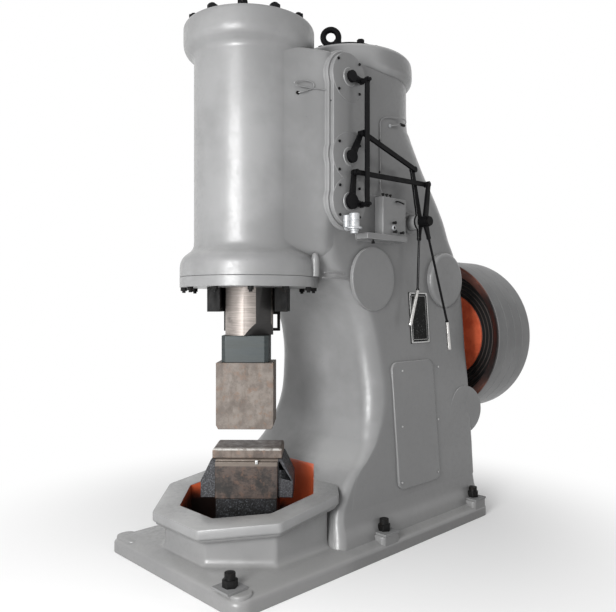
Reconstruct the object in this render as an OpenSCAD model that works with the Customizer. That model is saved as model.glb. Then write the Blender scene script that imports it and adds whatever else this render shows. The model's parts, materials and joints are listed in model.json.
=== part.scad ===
// Pneumatic forging hammer, single frame, 1000 kg class.
// Origin: ram axis at floor level. +Z up, the open throat faces -Y, the operator's linkage is on +X.

/* [Base] */
// Width of the base flange
base_w = 1360; // [1320:10:1440]
// Ram axis to the front edge of the base
base_front = 630; // [620:5:680]
// Ram axis to the rear edge of the base
base_rear = 1836; // [1800:4:1900]
// Thickness of the flange at its edge
flange_t = 80; // [60:5:100]
// Height of the bolting bosses above the floor
boss_z = 128; // [115:1:145]
// Height of the two front bosses
front_boss_z = 98; // [90:1:110]
// Half width of a bolting boss
boss_half = 85; // [75:1:100]
// Height at which the column stands on the base
foot_z = 300; // [280:5:320]
// Diameter of a foundation bolt
anchor_d = 60; // [48:2:72]

/* [Anvil well] */
// Half width across the flats of the well's lip
well_out = 575; // [560:5:600]
// Half width across the flats of the pit
well_in = 415; // [400:5:440]
// Height of the rim on the ram's axis
rim_z = 410; // [390:5:430]
// Slope of the rim, rising towards the column
rim_slope = 7.4; // [5:0.2:9]
// Height of the overhanging lip
lip_h = 62; // [40:2:80]

/* [Column] */
// Throat depth, from the ram's axis to the column
throat_d = 666; // [640:2:690]
// Rear face of the column
column_rear = 1832; // [1800:4:1832]
// Half width of the column at the throat
column_half = 500; // [480:5:520]
// Height of the seam between the column and the cylinders
seam_z = 1783; // [1760:1:1800]

/* [Cylinders] */
// Outer radius of the hammer cylinder
front_r = 355; // [340:5:370]
// Outer radius of the compressor cylinder
rear_r = 415; // [400:5:430]
// Distance between the two cylinder axes
spacing = 950; // [920:5:980]
// Height of the cylinder tops
top_z = 3379; // [3340:1:3420]
// Radius of the hammer cylinder's bottom flange
flange_r = 446; // [436:1:456]
// Bore radius of the hammer cylinder
bore_r = 250; // [230:5:265]
// Thickness of the bolted ring below the flange
ring_t = 65; // [50:5:80]

/* [Ram and dies] */
// Radius of the ram
ram_r = 155; // [145:1:160]
// Length of the upper die
die_l = 364; // [340:2:400]
// Length of the lower die
lower_die_l = 440; // [400:5:460]
// Width of a die
die_w = 270; // [240:5:290]
// Height of the upper die
upper_die_h = 420; // [400:2:450]
// Height of the lower die's striking face
strike_z = 702; // [680:1:720]
// Gap between the dies, with the ram as it stands
die_gap = 120; // [80:1:125]
// Distance of the upper die from the ram's axis, along the die
die_off = 16; // [0:2:16]
// Upward travel of the ram from where it stands
ram_up = 290; // [200:5:290]

/* [Flywheel] */
// Outer radius of the flywheel
wheel_r = 650; // [600:5:680]
// Width of the flywheel
wheel_w = 510; // [440:5:540]
// Distance from the column's rear face to the flywheel
wheel_off = 198; // [180:2:240]
// Height of the crankshaft
shaft_z = 1344; // [1300:2:1380]
// Radius of the crankshaft
shaft_r = 75; // [60:1:85]

/* [Valve gear] */
// Valve axes, from the ram's axis
valve_y = 418; // [400:2:440]
// Height of the middle valve
middle_valve_z = 2556; // [2540:2:2570]
// Distance from the middle valve up to the upper one
upper_rise = 510; // [490:2:530]
// Distance from the middle valve down to the lower one
lower_drop = 288; // [280:2:296]
// How far the valve chest stands out of the side
chest_out = 30; // [20:1:40]
// Lever shaft, from the ram's axis
lever_y = 1138; // [1120:2:1160]
// Height of the lever shaft
lever_z = 2200; // [2190:2:2210]
// Radius of the valve spindles
spindle_r = 22; // [18:1:26]
// Radius of the linkage pins
pin_r = 11; // [9:0.5:12]
// Radius of the eyes at the ends of the rods
eye_r = 21; // [20:0.5:26]
// Bar thickness of the rods and levers
bar_t = 18; // [16:1:22]

/* [Clearances] */
// Gap under a piece that is seated on another
seat_gap = 0.02; // [0.02:0.01:0.05]
// Radial clearance of a shaft in its bore
run_gap = 0.05; // [0.03:0.01:0.1]
// Clearance between faces that slide past each other
face_gap = 0.3; // [0.3:0.1:0.6]
// Clear space between parts of the linkage that pass each other
pass_gap = 6; // [5.5:0.5:8]
// Radial clearance in the two eyes that close the linkages
eye_gap = 4; // [3.5:0.5:5]

/* [Hidden] */
$fn = 96;

steel_grey = [0.62, 0.63, 0.63];
black = [0.08, 0.08, 0.08];
rust = [0.42, 0.34, 0.28];
bright = [0.75, 0.74, 0.72];

// ---- general shapes ----

// Point on a smooth curve through column c of the rows, at parameter u along them
function clampi(rows, i) = rows[max(0, min(len(rows) - 1, i))];
function curve(rows, u, c) =
    let (i = min(floor(u), len(rows) - 2), t = u - i,
         a = clampi(rows, i - 1)[c], b = clampi(rows, i)[c],
         d = clampi(rows, i + 1)[c], e = clampi(rows, i + 2)[c])
    0.5 * (2 * b + (d - a) * t + (2 * a - 5 * b + 4 * d - e) * t * t + (3 * b - a - 3 * d + e) * t * t * t);

// Rounded section of a casting, a row of eight numbers: height, front, rear, half width,
// the front corner's width and depth, its exponent (2 is round, 1 is a straight flank), rear corner radius
function power(v, n) = sign(v) * pow(abs(v), 2 / n);
function section(s, k) = [
    for (q = [[1, 0], [-1, 90]]) for (i = [0:k])
        let (a = q[1] + 90 * i / k)
        [q[0] * (s[3] - s[7]) + s[7] * cos(a), s[2] - s[7] + s[7] * sin(a), s[0]],
    for (q = [[-1, 180], [1, 270]]) for (i = [0:k])
        let (a = q[1] + 90 * i / k)
        [q[0] * (s[3] - s[4]) + s[4] * power(cos(a), s[6]), s[1] + s[5] + s[5] * power(sin(a), s[6]), s[0]]
];

// A row of five numbers has one round radius for all its corners
function full_row(s) = len(s) == 8 ? s : [s[0], s[1], s[2], s[3], s[4], s[4], 2, s[4]];

// Casting through the rows of sections, with so many steps between two rows
module loft(rows, steps = 4, k = 6) {
    full = [for (s = rows) full_row(s)];
    m = 4 * (k + 1);
    count = (len(full) - 1) * steps;
    stations = [for (i = [0:count]) [for (c = [0:7]) curve(full, i / steps, c)]];
    points = [for (s = stations) each section(s, k)];
    sides = [for (i = [0:count - 1]) for (j = [0:m - 1])
        let (a = i * m + j, b = i * m + (j + 1) % m)
        each [[a, a + m, b + m], [a, b + m, b]]];
    polyhedron(points, concat([[for (j = [0:m - 1]) j]], [[for (j = [m - 1:-1:0]) count * m + j]], sides), 6);
}

// Regular octagon by its half width across flats, flats square to X and Y
module octagon(half) {
    polygon([for (k = [0:7]) half / cos(22.5) * [cos(45 * k + 22.5), sin(45 * k + 22.5)]]);
}

// Rectangle with round corners, about its centre
module rounded(size, r) {
    square(size - [2 * r, 0], center = true);
    square(size - [0, 2 * r], center = true);
    for (a = [-1, 1], b = [-1, 1]) translate([a * (size[0] / 2 - r), b * (size[1] / 2 - r)]) circle(r);
}

// Axis along X, from x0 to x1, round the point [y, z]
module along_x(x0, x1, p, r) {
    translate([x0, p[0], p[1]]) rotate([0, 90, 0]) cylinder(h = x1 - x0, r = r);
}

// Axis along Y, from y0 to y1, at height z
module along_y(y0, y1, z, r) {
    translate([0, y1, z]) rotate([90, 0, 0]) cylinder(h = y1 - y0, r = r);
}

// Box given by its length, width and height, in the dies' own direction, with its offsets along and across it
module die_box(l, w, z0, z1, off = 0, along = 0) {
    rotate(45) translate([along, -off, (z0 + z1) / 2]) cube([l, w, z1 - z0], center = true);
}

// Profile of [along, height] points carried across the dies' direction
module die_block(points, w, off = 0, along = 0) {
    rotate(45) translate([along, w / 2 - off, 0]) rotate([90, 0, 0]) linear_extrude(w) polygon(points);
}

// Hexagon nut or head with its washer, pointing up from z = 0
module nut(d, h) {
    cylinder(h = h, r = 0.92 * d, $fn = 6);
}

// ---- derived places ----

seam_half = column_half - 60;
cap_z = top_z + 73;
cap_t = 36;
cover_z = cap_z + cap_t;
strike_top = strike_z + die_gap;
shank_z = strike_top + upper_die_h;
shank_h = 171;
ram_bottom = shank_z + shank_h;
piston_z = top_z - 679;
piston_h = 260;
ring_z = seam_z - ring_t;
guide_h = 154;
guide_z = ring_z - guide_h;
wheel_y = column_rear + wheel_off;
middle_y = (base_rear - base_front) / 2 + 27;
boss_x = base_w / 2 - boss_half;
// Bosses on the right, front to rear, and their heights; the one at the front left carries no bolt
bosses = [
    [boss_x - 60, 65 - base_front, front_boss_z], [boss_x + 15, middle_y, boss_z],
    [boss_x + 15, base_rear - boss_half - 50, boss_z]
];
bolts = [for (b = bosses, s = [-1, 1]) if (s > 0 || b[2] != front_boss_z) [s * b[0], b[1], b[2]]];

column_rows = [
    [foot_z, 330, column_rear, column_half + 55, 60, 60, 2, 50],
    [450, 385, column_rear, column_half + 45, 60, 60, 2, 50],
    [540, 460, column_rear, column_half + 40, 65, 65, 2, 50],
    [600, 525, column_rear, column_half + 35, 75, 75, 2, 50],
    [690, throat_d - 88, column_rear, column_half + 29, 90, 90, 2, 50],
    [770, throat_d - 54, column_rear, column_half + 22, 110, 110, 2, 50],
    [850, throat_d - 26, column_rear, column_half + 16, 130, 130, 2, 50],
    [950, throat_d - 6, column_rear, column_half + 9, 145, 145, 2, 50],
    [1060, throat_d, column_rear, column_half, 150, 150, 2, 50],
    [1260, throat_d - 14, column_rear, column_half - 24, 150, 150, 2, 50],
    [1420, throat_d - 44, column_rear, column_half - 36, 150, 150, 2, 50],
    [1510, throat_d - 74, column_rear, column_half - 42, 150, 150, 2, 52],
    [1570, throat_d - 106, column_rear - 1, column_half - 46, 150, 150, 2, 54],
    [1650, throat_d - 166, column_rear - 2, column_half - 51, 150, 150, 2, 58],
    [1720, throat_d - 246, column_rear - 3, column_half - 56, 150, 150, 2, 63],
    [seam_z, throat_d - 336, column_rear - 6, seam_half, 150, 150, 2, 70]
];

block_rows = [
    [seam_z, throat_d - 336, column_rear - 6, seam_half, 150, 150, 2, 70],
    [1850, 240, column_rear - 12, seam_half - 1, 165, 210, 1.8, 85],
    [1920, 120, column_rear - 21, seam_half - 2, 160, 280, 1.6, 115],
    [2010, 0, column_rear - 37, seam_half - 3, 150, 350, 1.4, 150],
    [2110, -60, column_rear - 72, seam_half - 4, 150, 410, 1.3, 200],
    [2240, -90, column_rear - 102, seam_half - 4, 150, 440, 1.3, 230],
    [2350, -100, column_rear - 163, seam_half - 4, 150, 450, 1.3, 270],
    [2440, -100, column_rear - 204, seam_half - 4, 150, 450, 1.3, 300],
    [2530, -100, column_rear - 267, seam_half - 4, 150, 450, 1.3, 320],
    [2620, -100, column_rear - 310, seam_half - 4, 150, 450, 1.3, 350],
    [2770, -100, column_rear - 397, seam_half - 4, 150, 450, 1.3, 380],
    [2840, -100, spacing + rear_r + 34, seam_half - 4, 150, 450, 1.3, 400],
    [2920, -100, spacing + rear_r + 4, seam_half - 4, 150, 450, 1.3, 412],
    [3210, -100, spacing + rear_r, seam_half - 4, 150, 450, 1.3, 412]
];

foot_rows = [
    [flange_t - 10, 150, column_rear - 2, base_w / 2 - 60, 80],
    [150, 190, column_rear - 1, base_w / 2 - 78, 75],
    [220, 230, column_rear, column_half + 70, 68],
    [foot_z, 262, column_rear, column_half + 55, 60]
];

edge_rows = [
    [0, -base_front, base_rear, base_w / 2, 90],
    [flange_t - 24, -base_front, base_rear, base_w / 2, 90],
    [flange_t - 4, -base_front + 12, base_rear - 2, base_w / 2 - 12, 84],
    [flange_t + 30, -base_front + 100, base_rear - 6, base_w / 2 - 100, 60]
];

// Everything above the sloping rim
module above_rim(drop = 0) {
    translate([0, 0, rim_z - drop]) rotate([rim_slope, 0, 0])
        translate([-1000, -1500, 0]) cube([2000, 3000, 600]);
}

// ---- frame ----

anvil_half = 190;
wall_out = well_out - 72;
washer = 140;
bearing_r = 330;
side_cover_y = 700;
access_size = [870, 480];
access_corner = 60;
access_z = 775;
access_x = column_half + 14;
access_tilt = 4.6;
plate_size = [220, 370];
plate_z = 1330;
plate_tilt = 3.9;
plate_x = column_half - 30;
dome_r = 210;
dome_y = column_rear - 277;
lug_r = 190;
lug_z = 790;
lubricator_z = 2080;
lubricator_h = 260;
shelf_t = 38;
chest_r = 168;
chest_x = seam_half + chest_out;
upper_valve_z = middle_valve_z + upper_rise;
lower_valve_z = middle_valve_z - lower_drop;
valve_heights = [upper_valve_z, middle_valve_z, lower_valve_z];

module base_casting() color(steel_grey) difference() {
    union() {
        loft(edge_rows, 2, 4);
        intersection() {
            for (b = bosses, s = [-1, 1]) translate([s * (b[0] + 25), b[1], b[2] / 2])
                cube([2 * boss_half + 50, 2 * boss_half, b[2]], center = true);
            translate([0, (base_rear - base_front) / 2, 0]) linear_extrude(boss_z)
                rounded([base_w, base_front + base_rear] - [6, 6], 84);
        }
        loft(foot_rows, 3, 5);
        difference() {
            union() {
                linear_extrude(rim_z + 90) octagon(wall_out);
                translate([0, 0, flange_t + 20]) linear_extrude(60, scale = (wall_out - 12) / (wall_out + 42)) octagon(wall_out + 42);
                for (step = [[0, 0], [28, 26]]) intersection() {
                    linear_extrude(rim_z + 90) octagon(well_out - step[0]);
                    above_rim(lip_h + step[1]);
                }
            }
            above_rim();
            translate([-700, 300, foot_z]) cube([1400, 600, 400]);
        }
    }
    translate([0, 0, 60]) linear_extrude(600) octagon(well_in);
    rotate(45) translate([0, 0, 30]) cube([2 * anvil_half, 2 * anvil_half, 100], center = true);
    for (b = bolts) translate([b[0], b[1], 0]) {
        translate([0, 0, -1]) cylinder(h = 400, d = anchor_d + 6);
        translate([-washer / 2 - 6, -washer / 2 - 6, b[2]]) cube([washer + 12, washer + 12, 200]);
    }
}

// Round boss low on the compressor side, which both castings share at their seam
module dome() {
    for (s = [-1, 1]) scale([s, 1, 1]) translate([0, dome_y, seam_z + 12]) rotate([0, 90, 0]) rotate_extrude() polygon([
        [0, seam_half - 100], [dome_r, seam_half - 100], [dome_r, seam_half + 22], [dome_r - 8, seam_half + 36],
        [dome_r - 26, seam_half + 44], [0, seam_half + 44]
    ]);
}

module column_casting() color(steel_grey) difference() {
    union() {
        loft(column_rows, 2, 7);
        intersection() {
            dome();
            translate([-1000, 1000, seam_z - 400]) cube([2000, 1000, 400]);
        }
        for (s = [-1, 1]) scale([s, 1, 1])
            along_x(column_half - 120, column_half + 55, [column_rear - 102, lug_z], lug_r);
    }
    linear_extrude(900) octagon(well_in);
    difference() {
        linear_extrude(rim_z + 90) octagon(well_out + 0.3);
        above_rim();
        translate([-700, 300, foot_z]) cube([1400, 600, 400]);
    }
    translate([0, 0, ring_z - 60]) cylinder(h = 200, r = flange_r + 2);
    translate([0, 0, guide_z]) cylinder(h = 200, r = 380);
    along_y(column_rear - 160, column_rear + 200, shaft_z, shaft_r + 40);
    along_y(column_rear - 40, column_rear + 200, shaft_z, bearing_r);
    access_solid(60);
    side_cover_solid(60);
    name_plate_solid(40);
}

module cylinder_block() color(steel_grey) difference() {
    union() {
        loft(block_rows, 2, 7);
        intersection() {
            dome();
            translate([-1000, 1000, seam_z]) cube([2000, 1000, 400]);
        }
        translate([0, spacing, 0]) rotate_extrude() polygon([
            [0, lubricator_z + lubricator_h + 10], [rear_r, lubricator_z + lubricator_h + 10], [rear_r, top_z - 174], [rear_r + 30, top_z - 167], [rear_r + 52, top_z - 144],
            [rear_r + 60, top_z - 114], [rear_r + 60, top_z - 49], [rear_r + 54, top_z - 7],
            [rear_r + 30, top_z + 21], [300, top_z + 61], [270, cap_z], [0, cap_z]
        ]);
        for (z = valve_heights) {
            along_x(200, chest_x, [valve_y, z], chest_r);
            translate([seam_half - 30, valve_y, z]) rotate([0, 90, 0]) cylinder(h = chest_out + 10, r1 = chest_r + 34, r2 = chest_r - 2);
        }
        translate([200, valve_y - 143, middle_valve_z + 114]) cube([chest_x - 200, 286, upper_rise - 250]);
        translate([200, valve_y - 116, lower_valve_z]) cube([chest_x - 200, 232, lower_drop]);
        along_x(300, boss_face, [lever_y, lever_z], 80);
        translate([300, 545, lubricator_z - shelf_t - 8]) cube([seam_half - 300, 450, lubricator_h + 60]);
    }
    rotate_extrude() polygon(concat([[0, seam_z - 1], [flange_r, seam_z - 1]], front_outline, [[0, top_z]]));
    side_cover_solid(60);
    for (z = valve_heights) along_x(chest_x - 90, chest_x + 1, [valve_y, z], 60);
    along_x(360, boss_face + 1, [lever_y, lever_z], spindle_r);
}

// Outside of the hammer cylinder, from its bottom flange to its top band
front_outline = [
    [flange_r, seam_z], [flange_r, seam_z + 67], [flange_r - 8, seam_z + 102],
    [flange_r - 26, seam_z + 129], [flange_r - 60, seam_z + 155], [front_r + 10, seam_z + 177],
    [front_r, seam_z + 202], [front_r, top_z - 214], [front_r + 12, top_z - 194], [front_r + 50, top_z - 159],
    [front_r + 65, top_z - 133], [front_r + 67, top_z - 104], [front_r + 67, top_z - 16], [front_r + 58, top_z]
];

module front_cylinder() color(steel_grey) rotate_extrude() polygon(concat(
    [[bore_r + face_gap, seam_z]], front_outline,
    [[330, top_z], [330, top_z - 50], [bore_r + face_gap, top_z - 50]]
));

module front_cover() color(steel_grey) {
    translate([0, 0, top_z - 50]) cylinder(h = 50, r = 329);
    for (k = [0:11]) rotate(30 * k + 15) translate([375, 0, top_z]) {
        cylinder(h = 40, r = 17);
        nut(36, 30);
    }
}

module rear_cover() color(black) translate([0, spacing, cap_z]) {
    cylinder(h = cap_t, r = 252);
    for (k = [0:7]) rotate(45 * k + 22.5) translate([215, 0, cap_t]) nut(30, 34);
}

module lifting_ring() color(black) translate([0, spacing - 185, cover_z]) {
    cylinder(h = 22, r = 45);
    translate([0, 0, 80]) rotate([90, 0, 45]) rotate_extrude() translate([56, 0]) circle(r = 22);
}

module gland_ring() color(steel_grey) translate([0, 0, ring_z]) difference() {
    cylinder(h = ring_t, r = flange_r);
    translate([0, 0, -1]) cylinder(h = ring_t + 2, r = ram_r + 0.1);
}

module gland_studs() color(black) for (k = [0:11]) rotate(30 * k + 22) translate([flange_r - 26, 0, ring_z - 34]) {
    cylinder(h = 34, r = 11);
    translate([0, 0, 12]) cylinder(h = 22, r = 21, $fn = 6);
}

module ram_guide() color(black) difference() {
    die_box(510, 340, guide_z, ring_z - seat_gap, -45);
    die_box(2 * ram_r + 34, 600, guide_z - 1, ring_z + 1, 600 / 2 - ram_r - 10);
}

module guide_strap() color(black) difference() {
    die_box(380, 22, guide_z - 132, guide_z - seat_gap, -(ram_r + 25));
    die_box(340, 40, guide_z - 112, guide_z - 20, -(ram_r + 25));
}

// ---- ram and dies ----

flat_x = ram_r - 12;

module ram() color(bright) difference() {
    union() {
        translate([0, 0, ram_bottom]) cylinder(h = piston_z - ram_bottom, r = ram_r);
        translate([0, 0, piston_z]) cylinder(h = piston_h, r = bore_r);
    }
    translate([flat_x, -ram_r - 1, ram_bottom - 1]) cube([50, 2 * ram_r + 2, 600]);
    translate([flat_x - 45, -ram_r - 1, ram_bottom]) rotate([0, 30, 0]) translate([0, 0, -80])
        cube([60, 2 * ram_r + 2, 200]);
}

shank_size = [300, 260];
shank_edge = 24;

// Shank between the ram and the die, its four upright edges chamfered
module ram_shank() color([0.36, 0.43, 0.46]) rotate(45) translate([-die_off, 0, shank_z]) linear_extrude(shank_h - seat_gap) {
    a = shank_size / 2;
    b = a - shank_edge * [1, 1];
    polygon([
        [b[0], -a[1]], [a[0], -b[1]], [a[0], b[1]], [b[0], a[1]],
        [-b[0], a[1]], [-a[0], b[1]], [-a[0], -b[1]], [-b[0], -a[1]]
    ]);
}

module upper_die() color(rust) die_block([
    [-die_l / 2, shank_z - seat_gap], [-die_l / 2, strike_top + 26], [-die_l / 2 + 14, strike_top],
    [die_l / 2 - 14, strike_top], [die_l / 2, strike_top + 26], [die_l / 2, shank_z - seat_gap]
], die_w, 0, -die_off);

die_foot_z = strike_z - 62;

module lower_die() color(rust) die_block([
    [-lower_die_l / 2, die_foot_z], [-lower_die_l / 2, strike_z - 10], [10 - lower_die_l / 2, strike_z],
    [lower_die_l / 2 - 10, strike_z], [lower_die_l / 2, strike_z - 10], [lower_die_l / 2, die_foot_z]
], die_w);

anvil_z = 400;

module die_holder() color(rust) {
    die_block([
        [-lower_die_l / 2 - 4, die_foot_z - seat_gap], [-290, 505], [-290, anvil_z + seat_gap],
        [290, anvil_z + seat_gap], [290, 505], [lower_die_l / 2 + 4, die_foot_z - seat_gap]
    ], die_w + 50);
    die_box(390, die_w + 110, anvil_z + seat_gap, die_foot_z - 10);
}

module anvil() color(black) {
    die_box(2 * anvil_half, 2 * anvil_half, 0, anvil_z);
}

// ---- valve gear ----

// Three planes of bars, one in front of the other: the cranks with lever 1, the two rods, the link rod with lever 2
cover_x = chest_x + 30;
crank_x = cover_x + 2 * pass_gap;
rod_x = crank_x + bar_t + pass_gap;
link_x = rod_x + bar_t + pass_gap;
upper_arm = 92;
link_end = [upper_arm, -12];
rocker_top = [valve_y + 18, lower_valve_z + 185];
middle_end = [valve_y + 84, middle_valve_z + 158];
lever_1_top = [lever_y - 88, lever_z + 360];
lever_2_top = [lever_y + 40, lever_z + 270];
lever_1_bend = [lever_y - 22, lever_z - 483];
lever_2_bend = [lever_y + 274, lever_z - 714];

// Forged arm between two points of the YZ plane: an eye at each end and a tapering bar between them
module bar(x, a, b, ra, rb) {
    d = b - a;
    l = norm(d);
    translate([x, a[0], a[1]]) rotate([atan2(d[1], d[0]), 0, 0]) rotate([90, 0, 90]) linear_extrude(bar_t) {
        polygon([[0, -0.75 * ra], [l, -0.75 * rb], [l, 0.75 * rb], [0, 0.75 * ra]]);
        circle(ra);
        translate([l, 0]) circle(rb);
    }
}

// Round rod between two points of the YZ plane
module round_rod(x, a, b, r) {
    d = b - a;
    translate([x, a[0], a[1]]) rotate([atan2(d[1], d[0]) - 90, 0, 0]) cylinder(h = norm(d), r = r, $fn = 32);
}

module pin_hole(x, p, gap) {
    along_x(x - 1, x + bar_t + 1, p, pin_r + gap);
}

// Pin through a bar of plane x, seated in it, with a collar that stands off the bar of the other plane
module pin(x, p, x0, x1, c0, c1) {
    along_x(x0, x1, p, pin_r);
    along_x(c0, c1, p, pin_r + 5);
}

// Pin from the crank plane, forward through the rods' plane or on to the link rod
module crank_pin(p, to) {
    pin(crank_x, p, crank_x, to + bar_t + (to == link_x ? 20 : 1), crank_x + bar_t + seat_gap, to - face_gap);
}

module valve_covers() color(steel_grey) for (v = [[upper_valve_z, 155], [middle_valve_z, 142], [lower_valve_z, 142]])
    difference() {
        union() {
            along_x(chest_x, cover_x, [valve_y, v[0]], v[1]);
            along_x(chest_x, cover_x + pass_gap, [valve_y, v[0]], 58);
        }
        along_x(chest_x - 1, cover_x + pass_gap + 1, [valve_y, v[0]], spindle_r + run_gap);
    }

module valve_plate() color(steel_grey)
    translate([chest_x, valve_y - 118, middle_valve_z + 146]) cube([20, 236, upper_rise - 306]);

module spindle(z, r) {
    along_x(chest_x - 60, crank_x + 1, [valve_y, z], spindle_r);
    along_x(crank_x, crank_x + bar_t + 3, [valve_y, z], r);
}

module upper_valve() color(black) {
    p = [valve_y, upper_valve_z] + link_end;
    difference() {
        union() {
            spindle(upper_valve_z, 38);
            bar(crank_x, [valve_y, upper_valve_z], p, 30, eye_r);
        }
        pin_hole(crank_x, p, run_gap);
    }
    crank_pin(p, link_x);
}

module lower_valve() color(black) {
    p = [valve_y, lower_valve_z] + link_end;
    difference() {
        union() {
            spindle(lower_valve_z, 50);
            bar(crank_x, [valve_y, lower_valve_z], p, 36, eye_r);
            bar(crank_x, [valve_y, lower_valve_z], rocker_top, 34, eye_r);
        }
        pin_hole(crank_x, p, run_gap);
        pin_hole(crank_x, rocker_top, run_gap);
    }
    crank_pin(p, link_x);
    crank_pin(rocker_top, rod_x);
}

module middle_valve() color(black) {
    difference() {
        union() {
            spindle(middle_valve_z, 42);
            bar(crank_x, [valve_y, middle_valve_z], middle_end, 34, eye_r);
        }
        pin_hole(crank_x, middle_end, run_gap);
    }
    crank_pin(middle_end, rod_x);
}

module link_rod() color(black) difference() {
    bar(link_x, [valve_y, lower_valve_z] + link_end, [valve_y, upper_valve_z] + link_end, eye_r, eye_r);
    for (z = [lower_valve_z, upper_valve_z]) pin_hole(link_x, [valve_y, z] + link_end, run_gap);
}

module rod_1() color(black) difference() {
    bar(rod_x, middle_end, lever_1_top, eye_r, eye_r);
    pin_hole(rod_x, middle_end, eye_gap);
    pin_hole(rod_x, lever_1_top, run_gap);
}

module rod_2() color(black) difference() {
    bar(rod_x, rocker_top, lever_2_top, eye_r, eye_r);
    pin_hole(rod_x, rocker_top, eye_gap);
    pin_hole(rod_x, lever_2_top, run_gap);
}

boss_face = seam_half + 6;
hub_1_x = [boss_face + pass_gap, crank_x + bar_t - 3];
hub_2_x = [rod_x, link_x + bar_t + 22];
hand_r = 8.5;
grip_r = 11;

// Hand lever below its hub: a tapering socket, a round rod down to the bend and a thicker grip beyond it
module hand_lever(x, bend, grip_end) {
    hub = [lever_y, lever_z];
    d = (bend - hub) / norm(bend - hub);
    bar(x, hub, hub + 120 * d, 34, 15);
    round_rod(x + bar_t / 2, hub + 60 * d, bend, hand_r);
    translate([x + bar_t / 2, bend[0], bend[1]]) sphere(r = grip_r + 1.5, $fn = 32);
    round_rod(x + bar_t / 2, bend, grip_end, grip_r);
}

module lever_1() color(black) {
    difference() {
        union() {
            along_x(hub_1_x[0], hub_1_x[1], [lever_y, lever_z], 56);
            bar(crank_x, [lever_y, lever_z], lever_1_top, 34, eye_r);
            hand_lever(crank_x, lever_1_bend, lever_1_bend + [-91, -254]);
        }
        along_x(hub_1_x[0] - 1, crank_x + bar_t + 1, [lever_y, lever_z], spindle_r + run_gap);
        pin_hole(crank_x, lever_1_top, run_gap);
    }
    crank_pin(lever_1_top, rod_x);
}

module lever_2() color(black) {
    difference() {
        union() {
            along_x(hub_2_x[0], hub_2_x[1], [lever_y, lever_z], 38);
            bar(link_x, [lever_y, lever_z], lever_2_top, 32, eye_r);
            hand_lever(link_x, lever_2_bend, lever_2_bend + [30, -209]);
        }
        along_x(hub_2_x[0] - 1, hub_2_x[1] + 1, [lever_y, lever_z], spindle_r + run_gap);
        pin_hole(link_x, lever_2_top, run_gap);
    }
    pin(link_x, lever_2_top, rod_x - 1, link_x + bar_t, rod_x + bar_t + face_gap, link_x - seat_gap);
}

module lever_shaft() color(black) {
    along_x(360, hub_2_x[1] + 8, [lever_y, lever_z], spindle_r);
    along_x(hub_2_x[1] + 1, hub_2_x[1] + 16, [lever_y, lever_z], 32);
}

// ---- fittings on the frame ----

module lubricator() color(steel_grey) translate([seam_half, 735, lubricator_z]) cube([76, 250, lubricator_h]);

module lubricator_shelf() color(steel_grey)
    translate([seam_half, 550, lubricator_z - shelf_t]) cube([100, 420, shelf_t - seat_gap]);

module oil_pump() color([0.85, 0.85, 0.85]) {
    translate([cover_x + 40, valve_y, lower_valve_z - 190]) cylinder(h = 118, r = 34);
    along_x(chest_x, cover_x + 40, [valve_y, lower_valve_z - 168], 18);
}

module side_cover_solid(t) {
    along_x(seam_half, seam_half + t, [side_cover_y, seam_z], 215);
}

module side_cover() color(steel_grey) side_cover_solid(28);

module access_solid(t) {
    translate([access_x, 1090, access_z]) rotate([0, 90 - access_tilt, 0]) linear_extrude(t)
        rounded(access_size, access_corner);
}

module access_cover() color(steel_grey) access_solid(20);

module name_plate_solid(t) {
    translate([plate_x, 1105, plate_z]) rotate([0, -plate_tilt, 0]) cube([t, plate_size[0], plate_size[1]]);
}

module name_plate() color(black) name_plate_solid(6);

module bearing_housing() color(steel_grey) difference() {
    union() {
        along_y(column_rear - 40, column_rear + 66, shaft_z, bearing_r);
        along_y(column_rear + 66, column_rear + 160, shaft_z, 210);
    }
    along_y(column_rear - 41, column_rear + 161, shaft_z, shaft_r + run_gap);
}

module crankshaft() color(bright) along_y(column_rear - 150, wheel_y + wheel_w + 20, shaft_z, shaft_r);

// Rim with its tapered lip and grooved inner ring, web, and hub, about the shaft
module flywheel() color([0.6, 0.6, 0.6]) translate([0, wheel_y, shaft_z]) rotate([-90, 0, 0]) rotate_extrude() polygon([
    [shaft_r, 40], [150, 40], [150, 180], [377, 180], [377, 196], [wheel_r - 105, 196], [wheel_r - 90, 60],
    [wheel_r - 20, 0], [wheel_r, 0], [wheel_r, wheel_w], [wheel_r - 60, wheel_w], [wheel_r - 60, 330],
    [150, 330], [150, wheel_w - 40], [shaft_r, wheel_w - 40]
]);

module foundation_bolts() color(black) for (b = bolts) translate([b[0], b[1], 0]) {
    cylinder(h = b[2] + 90, d = anchor_d);
    translate([-washer / 2, -washer / 2, b[2]]) cube([washer, washer, 14]);
    translate([0, 0, b[2] + 14]) cylinder(h = 42, r = 43, $fn = 6);
}

base_casting();
column_casting();
cylinder_block();
front_cylinder();
front_cover();
rear_cover();
lifting_ring();
gland_ring();
gland_studs();
ram_guide();
guide_strap();
ram();
ram_shank();
upper_die();
lower_die();
die_holder();
anvil();
valve_covers();
valve_plate();
upper_valve();
middle_valve();
lower_valve();
link_rod();
rod_1();
rod_2();
lever_1();
lever_2();
lever_shaft();
lubricator();
lubricator_shelf();
oil_pump();
side_cover();
access_cover();
name_plate();
bearing_housing();
crankshaft();
flywheel();
foundation_bolts();
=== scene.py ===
import json
import math

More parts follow.
